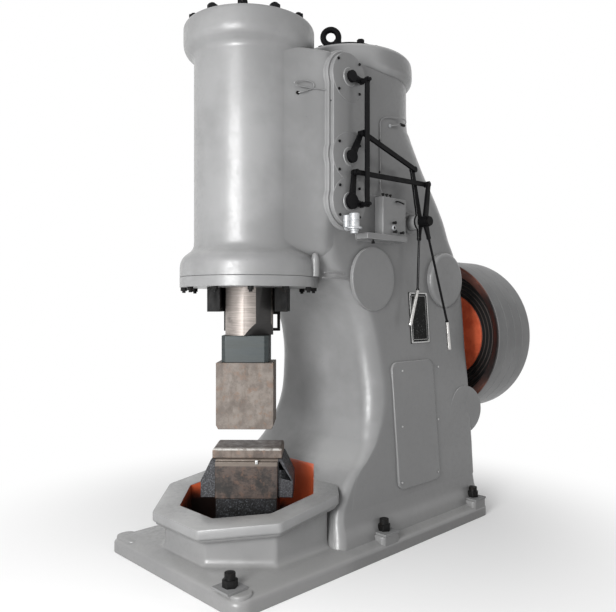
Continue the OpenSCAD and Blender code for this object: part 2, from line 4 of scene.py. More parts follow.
import bmesh
import bpy
import numpy as np
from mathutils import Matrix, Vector

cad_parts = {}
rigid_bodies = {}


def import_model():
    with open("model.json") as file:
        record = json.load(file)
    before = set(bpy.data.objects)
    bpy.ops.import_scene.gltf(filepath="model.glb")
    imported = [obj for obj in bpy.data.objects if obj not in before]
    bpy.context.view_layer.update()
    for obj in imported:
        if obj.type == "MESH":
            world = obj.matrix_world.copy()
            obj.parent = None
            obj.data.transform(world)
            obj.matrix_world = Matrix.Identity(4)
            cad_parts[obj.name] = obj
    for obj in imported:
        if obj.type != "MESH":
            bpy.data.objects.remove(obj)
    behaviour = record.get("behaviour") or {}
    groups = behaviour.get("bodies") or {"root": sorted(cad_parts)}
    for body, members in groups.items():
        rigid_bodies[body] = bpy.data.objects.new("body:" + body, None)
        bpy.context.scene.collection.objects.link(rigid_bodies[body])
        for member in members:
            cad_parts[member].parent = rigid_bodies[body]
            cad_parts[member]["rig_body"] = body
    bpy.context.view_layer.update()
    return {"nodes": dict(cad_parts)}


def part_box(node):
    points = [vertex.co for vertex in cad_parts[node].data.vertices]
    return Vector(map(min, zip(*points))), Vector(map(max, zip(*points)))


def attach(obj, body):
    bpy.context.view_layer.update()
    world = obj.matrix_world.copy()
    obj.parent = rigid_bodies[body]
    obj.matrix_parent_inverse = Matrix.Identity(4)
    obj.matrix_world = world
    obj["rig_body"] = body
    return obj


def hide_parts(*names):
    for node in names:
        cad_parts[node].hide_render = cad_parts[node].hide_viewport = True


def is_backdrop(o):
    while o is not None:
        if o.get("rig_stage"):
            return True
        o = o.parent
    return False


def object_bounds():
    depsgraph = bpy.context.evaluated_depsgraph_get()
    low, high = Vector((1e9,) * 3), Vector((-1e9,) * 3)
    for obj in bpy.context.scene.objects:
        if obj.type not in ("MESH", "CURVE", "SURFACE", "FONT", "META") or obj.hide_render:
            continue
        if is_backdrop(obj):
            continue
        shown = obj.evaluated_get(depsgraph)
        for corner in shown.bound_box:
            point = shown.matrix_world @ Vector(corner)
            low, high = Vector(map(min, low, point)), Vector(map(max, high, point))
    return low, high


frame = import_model()

# %% [markdown]
# # Pneumatic forging hammer
# A forging hammer of this kind is one hollow iron casting with two upright
# cylinders. The rear one pumps air, the front one drives the ram, and hand
# levers on the right side turn the valves between them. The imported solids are
# the fixed frame of this scene. They say where every piece is and how big, and
# this script lays smooth, finished surfaces over them.

# %% [markdown]
# ## Camera
# The machine is seen from its front right corner, at the height of a standing
# person's eyes. The camera's axis is level, which keeps the tall frame upright
# without any lens shift.

# %% camera
EYE = (3.284, -2.658, 1.6)
HEADING = math.radians(45.835)
LENS_MM = 37.79

lens = bpy.data.cameras.new("camera")
lens.sensor_width = 36.0
lens.lens = LENS_MM
camera = bpy.data.objects.new("camera", lens)
camera.location = EYE
camera.rotation_euler = (math.radians(90), 0, HEADING)
scene = bpy.context.scene
scene.collection.objects.link(camera)
scene.camera = camera
scene.view_settings.view_transform = "Standard"
print("camera at", EYE)

# %% [markdown]
# ## Meshes from arrays
# Every new surface here is a grid of points worked out as one numpy array. The
# rows of the grid are rings round the piece and its columns run along it. One
# helper turns such a grid into faces, welds what meets, and makes the normals
# point outwards. Edges sharper than a set angle stay sharp, the rest is shaded
# smooth.

# %% points and faces into an object
def build(name, points, faces, body="root", sharp=35.0):
    """Mesh object of the points and faces, welded, its normals outwards, riding on a body."""
    mesh = bpy.data.meshes.new(name)
    mesh.from_pydata([tuple(p) for p in points], [], [tuple(f) for f in faces])
    finish_mesh(mesh, sharp)
    piece = bpy.data.objects.new(name, mesh)
    scene.collection.objects.link(piece)
    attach(piece, body)
    return piece


def finish_mesh(mesh, sharp=35.0, weld=1e-5):
    """Weld the points, turn the faces outwards, and shade smooth up to the sharp angle."""
    work = bmesh.new()
    work.from_mesh(mesh)
    bmesh.ops.remove_doubles(work, verts=work.verts, dist=weld)
    bmesh.ops.dissolve_degenerate(work, edges=work.edges, dist=weld)
    bmesh.ops.recalc_face_normals(work, faces=work.faces)
    work.to_mesh(mesh)
    work.free()
    mesh.shade_smooth()
    mesh.set_sharp_from_angle(angle=math.radians(sharp))


def grid_faces(rows, columns, closed_rows=False, first=0):
    """Quads of a grid whose columns close into rings; closed_rows joins the last ring to the first."""
    row = np.arange(rows if closed_rows else rows - 1)[:, None]
    column = np.arange(columns)[None, :]
    here, above, after = row * columns, (row + 1) % rows * columns, (column + 1) % columns
    quads = np.stack([here + column, here + after, above + after, above + column], axis=-1) + first
    return quads.reshape(-1, 4)


def rings(name, grid, body="root", closed_rows=False, sharp=35.0):
    """Closed piece from an array of rings, each ring a row of points; its two ends are capped."""
    rows, columns, _ = grid.shape
    faces = grid_faces(rows, columns, closed_rows).tolist()
    if not closed_rows:
        faces.append(list(range(columns))[::-1])
        faces.append([(rows - 1) * columns + j for j in range(columns)])
    return build(name, grid.reshape(-1, 3), faces, body, sharp)

print("mesh helpers ready")

# %% [markdown]
# ## Turned pieces
# Cylinders, flanges, covers and wheels come off a lathe, so each is a profile
# carried round an axis. A turned edge is never razor sharp. The profile's
# corners therefore carry a radius, and the arc is put in before the profile is
# carried round.

# %% profile with rounded corners, and the surface of revolution
def rounded(corners, steps=5):
    """Points of an open profile. Each corner is (a, b, radius): the corner point is pulled
    back by the radius along both sides, and a parabola joins the two points."""
    out = []
    for i, corner in enumerate(corners):
        here = np.array(corner[:2], float)
        radius = corner[2] if len(corner) > 2 else 0.0
        if radius == 0 or i in (0, len(corners) - 1):
            out.append(here)
            continue
        before, after = np.array(corners[i - 1][:2]), np.array(corners[i + 1][:2])
        start = here + (before - here) * min(0.5, radius / np.linalg.norm(before - here))
        end = here + (after - here) * min(0.5, radius / np.linalg.norm(after - here))
        t = np.linspace(0, 1, steps)[:, None]
        out.extend((1 - t) ** 2 * start + 2 * t * (1 - t) * here + t ** 2 * end)
    return np.array(out)


AXES = {"x": (1, 2, 0), "y": (0, 2, 1), "z": (0, 1, 2)}


def revolved(profile, axis, around, first=0.0):
    """Surface of revolution: radius times the unit circle at each height of the profile."""
    angle = np.linspace(0, 2 * math.pi, around, endpoint=False) + first
    grid = np.empty((len(profile), around, 3))
    u, v, w = AXES[axis]
    grid[..., u] = profile[:, :1] * np.cos(angle)
    grid[..., v] = profile[:, :1] * np.sin(angle)
    grid[..., w] = profile[:, 1:2]
    return grid


def turned(name, corners, centre=(0, 0, 0), axis="z", body="root", around=128, closed=False):
    """Profile with its corners rounded, carried round an axis through the centre."""
    grid = revolved(rounded(corners), axis, around) + np.array(centre)
    if closed:
        return rings(name, grid, body, True)
    return build(name, grid.reshape(-1, 3), grid_faces(*grid.shape[:2]).tolist(), body)

print("lathe ready")

# %% [markdown]
# ## Plates and tubes
# A cover or a flange that isn't round is an outline pushed along an axis, with
# its outer edge rolled off by an arc. An oil pipe is a circle carried along a
# smooth line, turned so that it never twists.

# %% plate from an outline
def inset(outline, distance):
    """Outline moved inwards along its normals: half way between the normals of the two sides."""
    ahead = np.roll(outline, -1, 0) - outline
    behind = outline - np.roll(outline, 1, 0)
    tangent = ahead / np.linalg.norm(ahead, axis=1, keepdims=True)
    tangent = tangent + behind / np.linalg.norm(behind, axis=1, keepdims=True)
    tangent /= np.linalg.norm(tangent, axis=1, keepdims=True)
    return outline + distance * np.stack([-tangent[:, 1], tangent[:, 0]], 1)


def stacked(levels):
    """Grid of outlines, each (outline, height) at its own height along the third axis."""
    return np.stack([np.column_stack([outline, np.full(len(outline), height)]) for outline, height in levels])


def plate(name, outline, start, end, edge, place=lambda grid: grid):
    """Outline (anticlockwise) pushed from start to end along the third axis. The far edge is
    a quarter circle of radius edge. place maps (a, b, height) to a point of the machine."""
    side = math.copysign(1, end - start)
    levels = [(outline, start)] + [
        (inset(outline, edge * (1 - math.cos(t))), end - side * edge * (1 - math.sin(t)))
        for t in np.linspace(0, math.pi / 2, 5)
    ]
    return rings(name, place(stacked(levels)))


def round_rect(width, height, radius, centre=(0, 0), steps=10):
    """Rectangle with round corners about its centre, anticlockwise."""
    angle = np.linspace(0, math.pi / 2, steps)
    corners = []
    for k, (a, b) in enumerate(((1, 1), (-1, 1), (-1, -1), (1, -1))):
        arc = angle + k * math.pi / 2
        middle = np.array([a * (width / 2 - radius), b * (height / 2 - radius)])
        corners.append(middle + radius * np.stack([np.cos(arc), np.sin(arc)], 1))
    return np.concatenate(corners) + np.array(centre)


def on_side(grid):
    """(y, z, x) of a plate on the right side to (x, y, z)."""
    return grid[..., [2, 0, 1]]

print("outline of a plate has", len(round_rect(1, 1, 0.1)), "points")

# %% tube along a line
def curve_through(p, steps):
    """Catmull-Rom curve from the second row to the last but one: a cubic whose slope at a row is half of the
    step from the row before to the row after."""
    t = (np.arange(steps) / steps)[None, :, None]
    a, b, c, d = (q[:, None, :] for q in (p[:-3], p[1:-2], p[2:-1], p[3:]))
    curve = 0.5 * (2 * b + (c - a) * t + (2 * a - 5 * b + 4 * c - d) * t ** 2
                   + (3 * b - a - 3 * c + d) * t ** 3)
    return np.vstack([curve.reshape(-1, p.shape[1]), p[-2:-1]])


def smooth_line(points, steps):
    """Curve through the points, straight on at its ends."""
    p = np.asarray(points, float)
    return curve_through(np.vstack([2 * p[0] - p[1], p, 2 * p[-1] - p[-2]]), steps)


def tube(name, line, radius, body="root", around=16, sharp=60.0):
    """Circle carried along the line. Each ring lies square to the line; its first axis is the
    one before, made square to the new direction again. The radius may be one per point."""
    radius = np.broadcast_to(radius, len(line))
    way = np.gradient(line, axis=0)
    way /= np.linalg.norm(way, axis=1, keepdims=True)
    first = np.cross(way[0], [0.31, 0.17, 0.93])
    angle = np.linspace(0, 2 * math.pi, around, endpoint=False)[:, None]
    grid = np.empty((len(line), around, 3))
    for i, direction in enumerate(way):
        first = first - direction * first.dot(direction)
        first /= np.linalg.norm(first)
        second = np.cross(direction, first)
        grid[i] = line[i] + radius[i] * (np.cos(angle) * first + np.sin(angle) * second)
    return rings(name, grid, body, sharp=sharp)

print("plates and tubes ready")

# %% [markdown]
# ## Materials
# Each finish is a small net of nodes on the object's own coordinates, so a
# pattern stays where it is when a piece moves. A class gives the nodes used
# here short names, which keeps each recipe short enough to read.

# %% node helpers
class Net:
    """Nodes of one tree. A socket takes a value or another node's output."""

    def __init__(self, tree, coordinates="Object"):
        self.tree = tree
        self.place = self.add("TexCoord", output=coordinates)

    def put(self, value, socket):
        """Value or link into a socket."""
        if isinstance(value, bpy.types.NodeSocket):
            self.tree.links.new(value, socket)
        else:
            socket.default_value = value

    def add(self, kind, sockets=None, output=0, **settings):
        """Node of a kind with its settings and sockets; one of its outputs comes back."""
        node = self.tree.nodes.new("ShaderNode" + kind)
        for key, value in settings.items():
            setattr(node, key, value)
        for key, value in (sockets or {}).items():
            self.put(value, node.inputs[key])
        return node.outputs[output]

    def axes(self, vector=None):
        """X, Y and Z of a vector, or of the place itself."""
        vector = self.place if vector is None else vector
        return self.add("SeparateXYZ", {"Vector": vector}).node.outputs

    def noise(self, scale, detail=3.0, rough=0.55, stretch=None):
        """Cloudy noise of so many cells a metre, stretched along an axis if asked."""
        place = self.place
        if stretch is not None:
            place = self.add("Mapping", {"Vector": place, "Scale": stretch})
        return self.add("TexNoise", {"Vector": place, "Scale": scale, "Detail": detail, "Roughness": rough})

    def ramp(self, value, low, high, out_low=0.0, out_high=1.0):
        """Smooth step of a value from low to high."""
        return self.add("MapRange", {"Value": value, "From Min": low, "From Max": high, "To Min": out_low,
                                     "To Max": out_high}, interpolation_type="SMOOTHSTEP")

    def mix(self, share, first, second):
        """Colour that goes from the first to the second with the share."""
        first, second = (c if isinstance(c, bpy.types.NodeSocket) else (*c, 1) for c in (first, second))
        return self.add("Mix", {0: share, 6: first, 7: second}, output=2, data_type="RGBA")

    def calc(self, operation, first, second=0.0):
        """One sum on two values."""
        return self.add("Math", {0: first, 1: second}, operation=operation)

    def times(self, first, second):
        return self.calc("MULTIPLY", first, second)

    def over(self, value, limit):
        return self.calc("GREATER_THAN", value, limit)

    def under(self, value, limit):
        return self.calc("LESS_THAN", value, limit)


class Finish(Net):
    """Material on the principled shader."""

    def __init__(self, name, rough, metal=0.0, coat=0.0, specular=0.5):
        self.material = bpy.data.materials.new(name)
        self.material.use_nodes = True
        super().__init__(self.material.node_tree)
        self.shader = self.tree.nodes["Principled BSDF"]
        for key, value in (("Roughness", rough), ("Metallic", metal), ("Coat Weight", coat),
                           ("Coat Roughness", 0.22), ("Specular IOR Level", specular)):
            self.shader.inputs[key].default_value = value

    def shade(self, colour, rough, *layers):
        """Colour, roughness unless it is None, and bumps laid on one another, each
        (height, strength, metres)."""
        self.put(colour, self.shader.inputs["Base Color"])
        if rough is not None:
            self.put(rough, self.shader.inputs["Roughness"])
        below = {}
        for height, strength, metres in layers:
            normal = self.add("Bump", {"Height": height, "Strength": strength, "Distance": metres, **below})
            below = {"Normal": normal}
        self.put(normal, self.shader.inputs["Normal"])
        return self.material


def scaled(colour, by):
    return tuple(by * c for c in colour)


def as_it_is(net, colour):
    """The change of a finish by place that changes nothing."""
    return colour

print("node helpers ready")

# %% [markdown]
# ### Enamel on a filled casting
# The frame is cast, smoothed with filler and sprayed with glossy grey enamel.
# Such paint shows a slow waviness of the filler, the fine orange peel of the
# spray, small pinholes, and grime that gathers low down. Two greys are mixed by
# a slow noise, pinholes come from the dark ends of a fine one, and the grime
# follows the height. The flat side walls behind the front cylinder get painted
# shade, and what faces upwards gets a pale mix of dust and painted light.

# %% grey enamel
GREY = (0.197, 0.198, 0.199)
# pale grey for dust and painted light on upward faces, dark grey for grime low down
DUST_AND_TOP_LIGHT, GRIME = (0.36, 0.36, 0.355), (0.1, 0.095, 0.09)


def enamel(name, colour, grime=0.2, rough=0.36, coat=0.25, extra=as_it_is):
    """Glossy paint on a filled casting. extra may change the colour by place."""
    net = Finish(name, rough, coat=coat)
    slow, spots = net.noise(2.2, 4.0), net.noise(34.0, 5.0, 0.7)
    paint = net.mix(net.ramp(slow, 0.35, 0.65), scaled(colour, 0.86), scaled(colour, 1.1))
    paint = net.mix(net.ramp(spots, 0.66, 0.76, 0.0, 0.45), paint, scaled(colour, 0.5))
    x, y, z = net.axes()
    facing_x, facing_y, facing_z = net.axes(net.add("NewGeometry", output="Normal"))
    # painted shade: flat walls that face along X, behind the front cylinder, are darkened to 0.62 of the colour
    painted_shade_on_walls = net.ramp(net.calc("ABSOLUTE", facing_x), 0.9, 0.995, 0.0, 0.8)
    paint = net.mix(net.times(painted_shade_on_walls, net.ramp(y, 0.1, 0.36)), paint, scaled(colour, 0.62))
    # dust and painted light: faces that point upwards are mixed towards a pale grey
    dust = net.times(net.ramp(facing_z, 0.45, 0.95), net.ramp(slow, 0.3, 0.6, 0.15, 0.45))
    paint = net.mix(dust, paint, DUST_AND_TOP_LIGHT)
    low_down = net.times(net.ramp(z, 0.45, 0.0), net.ramp(slow, 0.3, 0.62, 0.05, grime))
    paint = extra(net, net.mix(low_down, paint, GRIME))
    return net.shade(paint, net.ramp(spots, 0.35, 0.75, rough - 0.05, rough + 0.18),
                     (net.noise(6.5, 2.0), 0.35, 0.006), (net.noise(95.0), 0.1, 0.0006),
                     (spots, 0.12, 0.0012))


frame_paint = enamel("frame_paint", GREY)
print("enamel", frame_paint.name)

# %% [markdown]
# ### The well's inside
# The pit round the anvil is painted orange red. The base is one piece, so the
# colour is chosen by place: a point inside the octagon of the pit is orange.
# The octagon's distance is the largest of |x|, |y| and (|x| + |y|) / root 2.

# %% enamel that turns orange inside the pit
PIT_HALF, PIT_TOP = 0.4172, 0.6
# the near black is soot and painted shade towards the pit's floor
ORANGE, SOOT_AND_SHADE = (0.58, 0.105, 0.038), (0.012, 0.008, 0.007)
ROOT_HALF = 1 / math.sqrt(2)


def pit_orange(net, paint):
    """Orange where the octagon's distance is inside the pit, blackened towards its floor by soot and painted shade.
    """
    x, y, z = net.axes()
    far_x, far_y = net.calc("ABSOLUTE", x), net.calc("ABSOLUTE", y)
    skew = net.times(net.calc("ADD", far_x, far_y), ROOT_HALF)
    octagon = net.calc("MAXIMUM", net.calc("MAXIMUM", far_x, far_y), skew)
    inside = net.times(net.under(octagon, PIT_HALF), net.under(z, PIT_TOP))
    less_soot_and_shade = net.times(net.over(y, 0.17), 0.13)  # less soot and less painted shade on the rear walls
    level = net.calc("ADD", z, net.times(net.noise(7.0, 5.0), 0.1))
    soot_and_shade = net.ramp(net.calc("ADD", level, less_soot_and_shade), 0.33, 0.42)
    return net.mix(inside, paint, net.mix(soot_and_shade, SOOT_AND_SHADE, ORANGE))


base_paint = enamel("base_paint", GREY, grime=0.3, extra=pit_orange)
print("enamel", base_paint.name)

# %% [markdown]
# ### Black enamel, oiled steel and forged steel
# The linkage and the front cover are black enamel, worn by hands and oil. The
# guide, studs and anvil are bare iron, dark with oil and scale. The dies are
# forged steel gone brown: rust in clouds, darker streaks down the faces, and a
# rough skin.

# %% dark and worn metals
def black_enamel(name, colour=(0.0025, 0.0025, 0.003), rough=0.5, extra=as_it_is):
    """Black paint with dusty patches and small chips."""
    net = Finish(name, rough, specular=0.1)
    dust = net.noise(9.0, 5.0, 0.65)
    paint = net.mix(net.ramp(dust, 0.5, 0.75, 0.0, 0.5), colour, (0.012, 0.0115, 0.011))
    paint = net.mix(net.ramp(net.noise(120.0, 2.0), 0.7, 0.78, 0.0, 0.6), paint, (0.16, 0.15, 0.14))
    return net.shade(extra(net, paint), net.ramp(dust, 0.35, 0.75, rough, rough + 0.25),
                     (net.noise(60.0, 4.0), 0.2, 0.0008))


def forged(name, colour, dark, rust, rough, streak=(1.0, 1.0, 0.25), pits=0.35, metal=0.55, shine=0.5,
           extra=as_it_is):
    """Bare steel with a rough skin: two colours in clouds, rust in patches, darker streaks."""
    net = Finish(name, rough, metal=metal, specular=shine)
    cloud = net.noise(11.0, 6.0, 0.68)
    lines = net.noise(26.0, 5.0, 0.6, stretch=streak)
    skin = net.noise(150.0, 4.0, 0.6)
    base = net.mix(net.ramp(cloud, 0.38, 0.62), dark, colour)
    base = net.mix(net.ramp(net.noise(23.0, 5.0, 0.7), 0.52, 0.68, 0.0, 0.8), base, rust)
    base = net.mix(net.ramp(lines, 0.55, 0.72, 0.0, 0.55), base, dark)
    return net.shade(extra(net, base), net.ramp(lines, 0.3, 0.7, rough - 0.1, rough + 0.15),
                     (cloud, 0.5, 0.003), (skin, pits, 0.0008))

print("recipes for black enamel and forged steel ready")

# %% marks, painted highlight and painted shade on single pieces
def die_axes(net):
    """Distance along the dies, distance across them, and the height; the dies stand at 45 degrees."""
    x, y, z = net.axes()
    along, across = (net.times(net.calc(sign, x, y), ROOT_HALF) for sign in ("ADD", "SUBTRACT"))
    return along, across, z


def anvil_specks(net, base):
    """Pale grains on the rough black skin."""
    return net.mix(net.ramp(net.noise(110.0, 4.0, 0.75), 0.52, 0.66), base, (0.06, 0.064, 0.071))


def holder_marks(net, base):
    """Flared ends in speckled black and grey, and a lighter band under the die."""
    along, _, height = die_axes(net)
    speck = net.ramp(net.noise(120.0, 4.0, 0.75), 0.46, 0.66)
    flare = net.mix(speck, (0.014, 0.014, 0.016), (0.095, 0.098, 0.108))
    base = net.mix(net.ramp(height, 0.6, 0.606), base, (0.12, 0.098, 0.082))
    return net.mix(net.over(net.calc("ABSOLUTE", along), 0.1955), base, flare)


def die_top_marks(net, base):
    """Bright edge along the front of the lower die's top, partly wear and partly a painted highlight, and a darker
    top behind it.
    """
    _, across, height = die_axes(net)
    worn = net.ramp(net.noise(30.0, 5.0, 0.7), 0.36, 0.56, 0.25, 1.0)
    # wear and painted highlight: a pale strip along the top's front edge
    front_edge_highlight = net.times(net.ramp(across, 0.112, 0.118), net.ramp(height, 0.688, 0.692))
    base = net.mix(net.times(front_edge_highlight, worn), base, (0.38, 0.37, 0.35))
    dark_top = net.times(net.ramp(across, 0.1, 0.094), net.ramp(height, 0.698, 0.7))
    return net.mix(net.times(dark_top, 0.7), base, (0.06, 0.045, 0.038))


def hub_marks(net, paint):
    """Grey enamel on the hub behind the lever's arms, x under 0.5115, and on its end face at 0.527."""
    x = net.axes()[0]
    end_face = net.under(net.calc("ABSOLUTE", net.calc("SUBTRACT", x, 0.527)), 0.0005)
    return net.mix(net.calc("MAXIMUM", net.under(x, 0.5115), end_face), paint, GREY)


def bolt_marks(net, base):
    """Grey washers: everything below the nuts, which stand 30 mm higher on the two rear pairs of bosses."""
    x, y, z = net.axes()
    top = net.calc("ADD", net.times(net.over(y, 0.0), 0.03), 0.1124)
    return net.mix(net.under(z, top), base, scaled(GREY, 0.9))


def flat_painted_shade(net, base):
    """Painted shade: dark grey on the ram's flat and on the slanting cut below it: x over the smaller of
    0.143 and 0.098 + (z - 1.413) tan 30."""
    x, y, z = net.axes()
    slant = net.times(net.calc("SUBTRACT", z, 1.413), math.tan(math.radians(30)))
    face = net.calc("MINIMUM", net.calc("ADD", slant, 0.098), 0.143)
    # painted shade on the flat and on the slanting cut
    return net.mix(net.over(x, net.calc("SUBTRACT", face, 0.0012)), base, (0.05, 0.048, 0.047))

print("marks ready, the slanting cut at", round(math.tan(math.radians(30)), 3), "to one")

# %% black paints and dark steels
black_paint = black_enamel("black_paint")
hub_paint = black_enamel("hub_paint", extra=hub_marks)
bolt_steel = forged("bolt_steel", (0.007, 0.007, 0.007), (0.003, 0.003, 0.003), (0.012, 0.009, 0.008), 0.5,
                    metal=0.0, shine=0.12, extra=bolt_marks)
black_steel = forged("black_steel", (0.008, 0.008, 0.008), (0.003, 0.003, 0.003), (0.014, 0.01, 0.008), 0.5,
                     metal=0.0, shine=0.12)
anvil_steel = forged("anvil_steel", (0.012, 0.012, 0.013), (0.005, 0.005, 0.005), (0.008, 0.008, 0.008), 0.5,
                     pits=1.0, metal=0.0, shine=0.15, extra=anvil_specks)
die_steel = forged("die_steel", (0.16, 0.137, 0.119), (0.1, 0.082, 0.07), (0.145, 0.096, 0.07), 0.62,
                   pits=0.6, metal=0.1)
holder_steel = forged("holder_steel", (0.064, 0.046, 0.038), (0.014, 0.012, 0.011), (0.09, 0.052, 0.036), 0.5,
                      streak=(1.0, 1.0, 4.0), pits=0.8, metal=0.3, extra=holder_marks)
low_die_steel = forged("low_die_steel", (0.14, 0.112, 0.094), (0.07, 0.054, 0.045), (0.165, 0.105, 0.075),
                       0.5, pits=0.6, metal=0.2, extra=die_top_marks)
print("dark metals ready")

# %% [markdown]
# ### Ground and turned steel
# The ram and the grips are ground bright, which leaves fine rings round them.
# The noise is squeezed hard along the height, so its cells become thin rings.
# The shank has been blued, and the same rings show through the teal.

# %% bright steels
def ground_steel(name, colour, tint, rough, metal=0.95, squeeze=(6.0, 6.0, 160.0), extra=as_it_is):
    """Steel with fine rings and a stain or two."""
    net = Finish(name, rough, metal=metal)
    marks = net.noise(1.0, 6.0, 0.7, stretch=squeeze)
    base = net.mix(net.ramp(marks, 0.35, 0.65), tint, colour)
    base = net.mix(net.ramp(net.noise(7.0, 4.0), 0.56, 0.72, 0.0, 0.6), base, scaled(tint, 0.45))
    return net.shade(extra(net, base), net.ramp(marks, 0.3, 0.7, rough - 0.06, rough + 0.12),
                     (marks, 0.15, 0.0004))


polished_steel = ground_steel("polished_steel", (0.36, 0.325, 0.3), (0.22, 0.195, 0.18), 0.48, metal=0.7,
                              extra=flat_painted_shade)
shank_steel = ground_steel("shank_steel", (0.034, 0.04, 0.039), (0.018, 0.025, 0.027), 0.46, metal=0.25,
                           squeeze=(4.0, 4.0, 60.0))
grip_steel = ground_steel("grip_steel", (0.62, 0.61, 0.59), (0.42, 0.41, 0.4), 0.28,
                          squeeze=(60.0, 60.0, 9.0))
pump_paint = ground_steel("pump_paint", (0.46, 0.47, 0.48), (0.3, 0.31, 0.32), 0.36, metal=0.3,
                          squeeze=(30.0, 30.0, 60.0))
border_metal = ground_steel("border_metal", (0.58, 0.58, 0.57), (0.36, 0.36, 0.36), 0.34,
                            squeeze=(90.0, 90.0, 90.0))


def worn_plate(name):
    """Black plate whose field is hammered and rubbed pale in grains."""
    net = Finish(name, 0.5, specular=0.1)
    grain = net.noise(1.0, 5.0, 0.7, stretch=(60.0, 90.0, 60.0))
    worn = net.times(net.ramp(grain, 0.56, 0.66), net.ramp(net.noise(14.0), 0.42, 0.6, 0.1, 1.0))
    return net.shade(net.mix(worn, (0.002, 0.002, 0.002), (0.13, 0.13, 0.13)), None, (grain, 0.3, 0.0006))


plate_metal = worn_plate("plate_metal")
print("bright steels and", plate_metal.name)

# %% [markdown]
# ### The flywheel
# The rim is painted grey outside, with pale lines round it. Its front lip is
# reddish brown above and below the shaft and nearly black half way up, which is
# painted shade. The grooved ring inside it is nearly black, and the web is
# orange red. All of these are bands of the distance from the shaft, so the
# colour is chosen by that radius and the depth.

# %% wheel finish
def wheel_finish(name, shaft_z, front_y):
    """Colours in bands of the radius round the shaft, on the faces inside the rim."""
    net = Finish(name, 0.42, coat=0.1)
    x, y, z = net.axes()
    z = net.calc("SUBTRACT", z, shaft_z)
    radius = net.calc("SQRT", net.calc("ADD", net.times(x, x), net.times(z, z)))
    cloud = net.noise(8.0, 5.0, 0.65)
    web = net.mix(net.ramp(cloud, 0.35, 0.65), (0.7, 0.105, 0.04), (0.9, 0.17, 0.07))
    step = net.calc("FRACT", net.calc("DIVIDE", net.calc("SUBTRACT", radius, 0.4045), 0.033))
    ring = net.mix(net.times(net.under(step, 0.24), 0.8), (0.005, 0.005, 0.005), (0.1, 0.08, 0.072))
    # painted shade: the lip turns nearly black near the shaft's height and reddish brown above and below it
    level = net.ramp(net.calc("ABSOLUTE", z), 0.28, 0.5)
    lip_with_painted_shade = net.mix(net.times(level, net.ramp(cloud, 0.3, 0.6, 0.4, 1.0)), (0.012, 0.01, 0.01),
                  (0.175, 0.062, 0.042))
    rim = net.mix(net.ramp(net.noise(2.6, 4.0), 0.35, 0.65), (0.072, 0.073, 0.074), (0.105, 0.106, 0.107))
    across = net.calc("FRACT", net.calc("DIVIDE", net.calc("SUBTRACT", y, front_y), 0.124))
    rim = net.mix(net.times(net.under(across, 0.035), 0.4), rim, (0.26, 0.26, 0.26))
    colour = web
    for inner, band in ((0.3785, ring), (0.5615, lip_with_painted_shade), (0.6468, rim)):
        colour = net.mix(net.over(radius, inner), colour, band)
    return net.shade(colour, None, (net.noise(40.0, 4.0), 0.25, 0.001))

print("wheel finish ready")

# %% the finish of each material slot
FINISHES = {
    "frame_paint": frame_paint, "black_paint": black_paint, "black_steel": black_steel,
    "polished_steel": polished_steel, "shank_steel": shank_steel, "die_steel": die_steel,
    "anvil_steel": anvil_steel, "pump_paint": pump_paint, "plate_metal": plate_metal,
}


def painted(piece, node, slot="frame_paint", finish=None):
    """Piece with the finish of its slot, unless it has a finish of its own; the solid it stands for is hidden."""
    piece.data.materials.append(finish or FINISHES[slot])
    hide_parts(node)
    return piece


print("finishes", len(bpy.data.materials))

# %% [markdown]
# ## Floor and light
# The floor is a plain pale sheet. It keeps the shadow near the machine and
# turns into pure white further out, where only the camera and mirrors see that
# white. One wide soft lamp stands in front and to the left, so the front
# cylinder is the lightest face and the right side falls one step darker. The
# world fills the shadows, and more from overhead than from the sides, so the
# tops of flanges read lighter than the walls.

# %% floor
def white_for_mirrors(net):
    """1 for a ray of the camera, a mirror or glass, else 0."""
    path = net.add("LightPath").node.outputs
    seen = net.calc("MAXIMUM", path["Is Camera Ray"], path["Is Glossy Ray"])
    return net.calc("MAXIMUM", seen, path["Is Transmission Ray"])


WHITE = (1, 1, 1, 1)
FLOOR, FLOOR_Z = 40.0, -0.001
floor_mesh = bpy.data.meshes.new("floor")
floor_mesh.from_pydata([(a * FLOOR, b * FLOOR, FLOOR_Z) for a, b in ((-1, -1), (1, -1), (1, 1), (-1, 1))],
                       [], [(0, 1, 2, 3)])
floor = bpy.data.objects.new("floor", floor_mesh)
scene.collection.objects.link(floor)
floor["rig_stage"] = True
net = Finish("floor_finish", 0.85, specular=0.1)
net.shader.inputs["Base Color"].default_value = (0.88, 0.88, 0.88, 1)
distance = net.add("VectorMath", {0: net.place, 1: (0.0, 0.6, 0.0)}, output=1, operation="DISTANCE")
glow = net.add("Emission", {"Color": WHITE, "Strength": 1.0})
share = net.times(net.ramp(distance, 1.1, 3.0), white_for_mirrors(net))
mixed = net.add("MixShader", {0: share, 1: net.shader.outputs[0], 2: glow})
net.put(mixed, net.tree.nodes["Material Output"].inputs["Surface"])
floor_mesh.materials.append(net.material)
print("floor", 2 * FLOOR, "m wide")

# %% world and lamp
FILL_LOW, FILL_HIGH = 0.2, 0.8  # strength at the horizon and overhead
world = bpy.data.worlds.new("world")
scene.world = world
world.use_nodes = True
net = Net(world.node_tree, "Generated")
fill = net.ramp(net.axes()[2], 0.0, 1.0, FILL_LOW, FILL_HIGH)
strength = net.add("MapRange", {"Value": white_for_mirrors(net), "To Min": fill, "To Max": 1.0})
background = net.tree.nodes["Background"]
net.put(strength, background.inputs["Strength"])
background.inputs["Color"].default_value = WHITE


def lamp(name, place, target, width, height, power):
    """Oblong area lamp at a place, its face turned to the target."""
    light = bpy.data.lights.new(name, "AREA")
    light.shape = "RECTANGLE"
    light.size, light.size_y, light.energy = width, height, power
    thing = bpy.data.objects.new(name, light)
    thing.location = place
    thing.rotation_euler = (Vector(target) - Vector(place)).to_track_quat("-Z", "Y").to_euler()
    scene.collection.objects.link(thing)


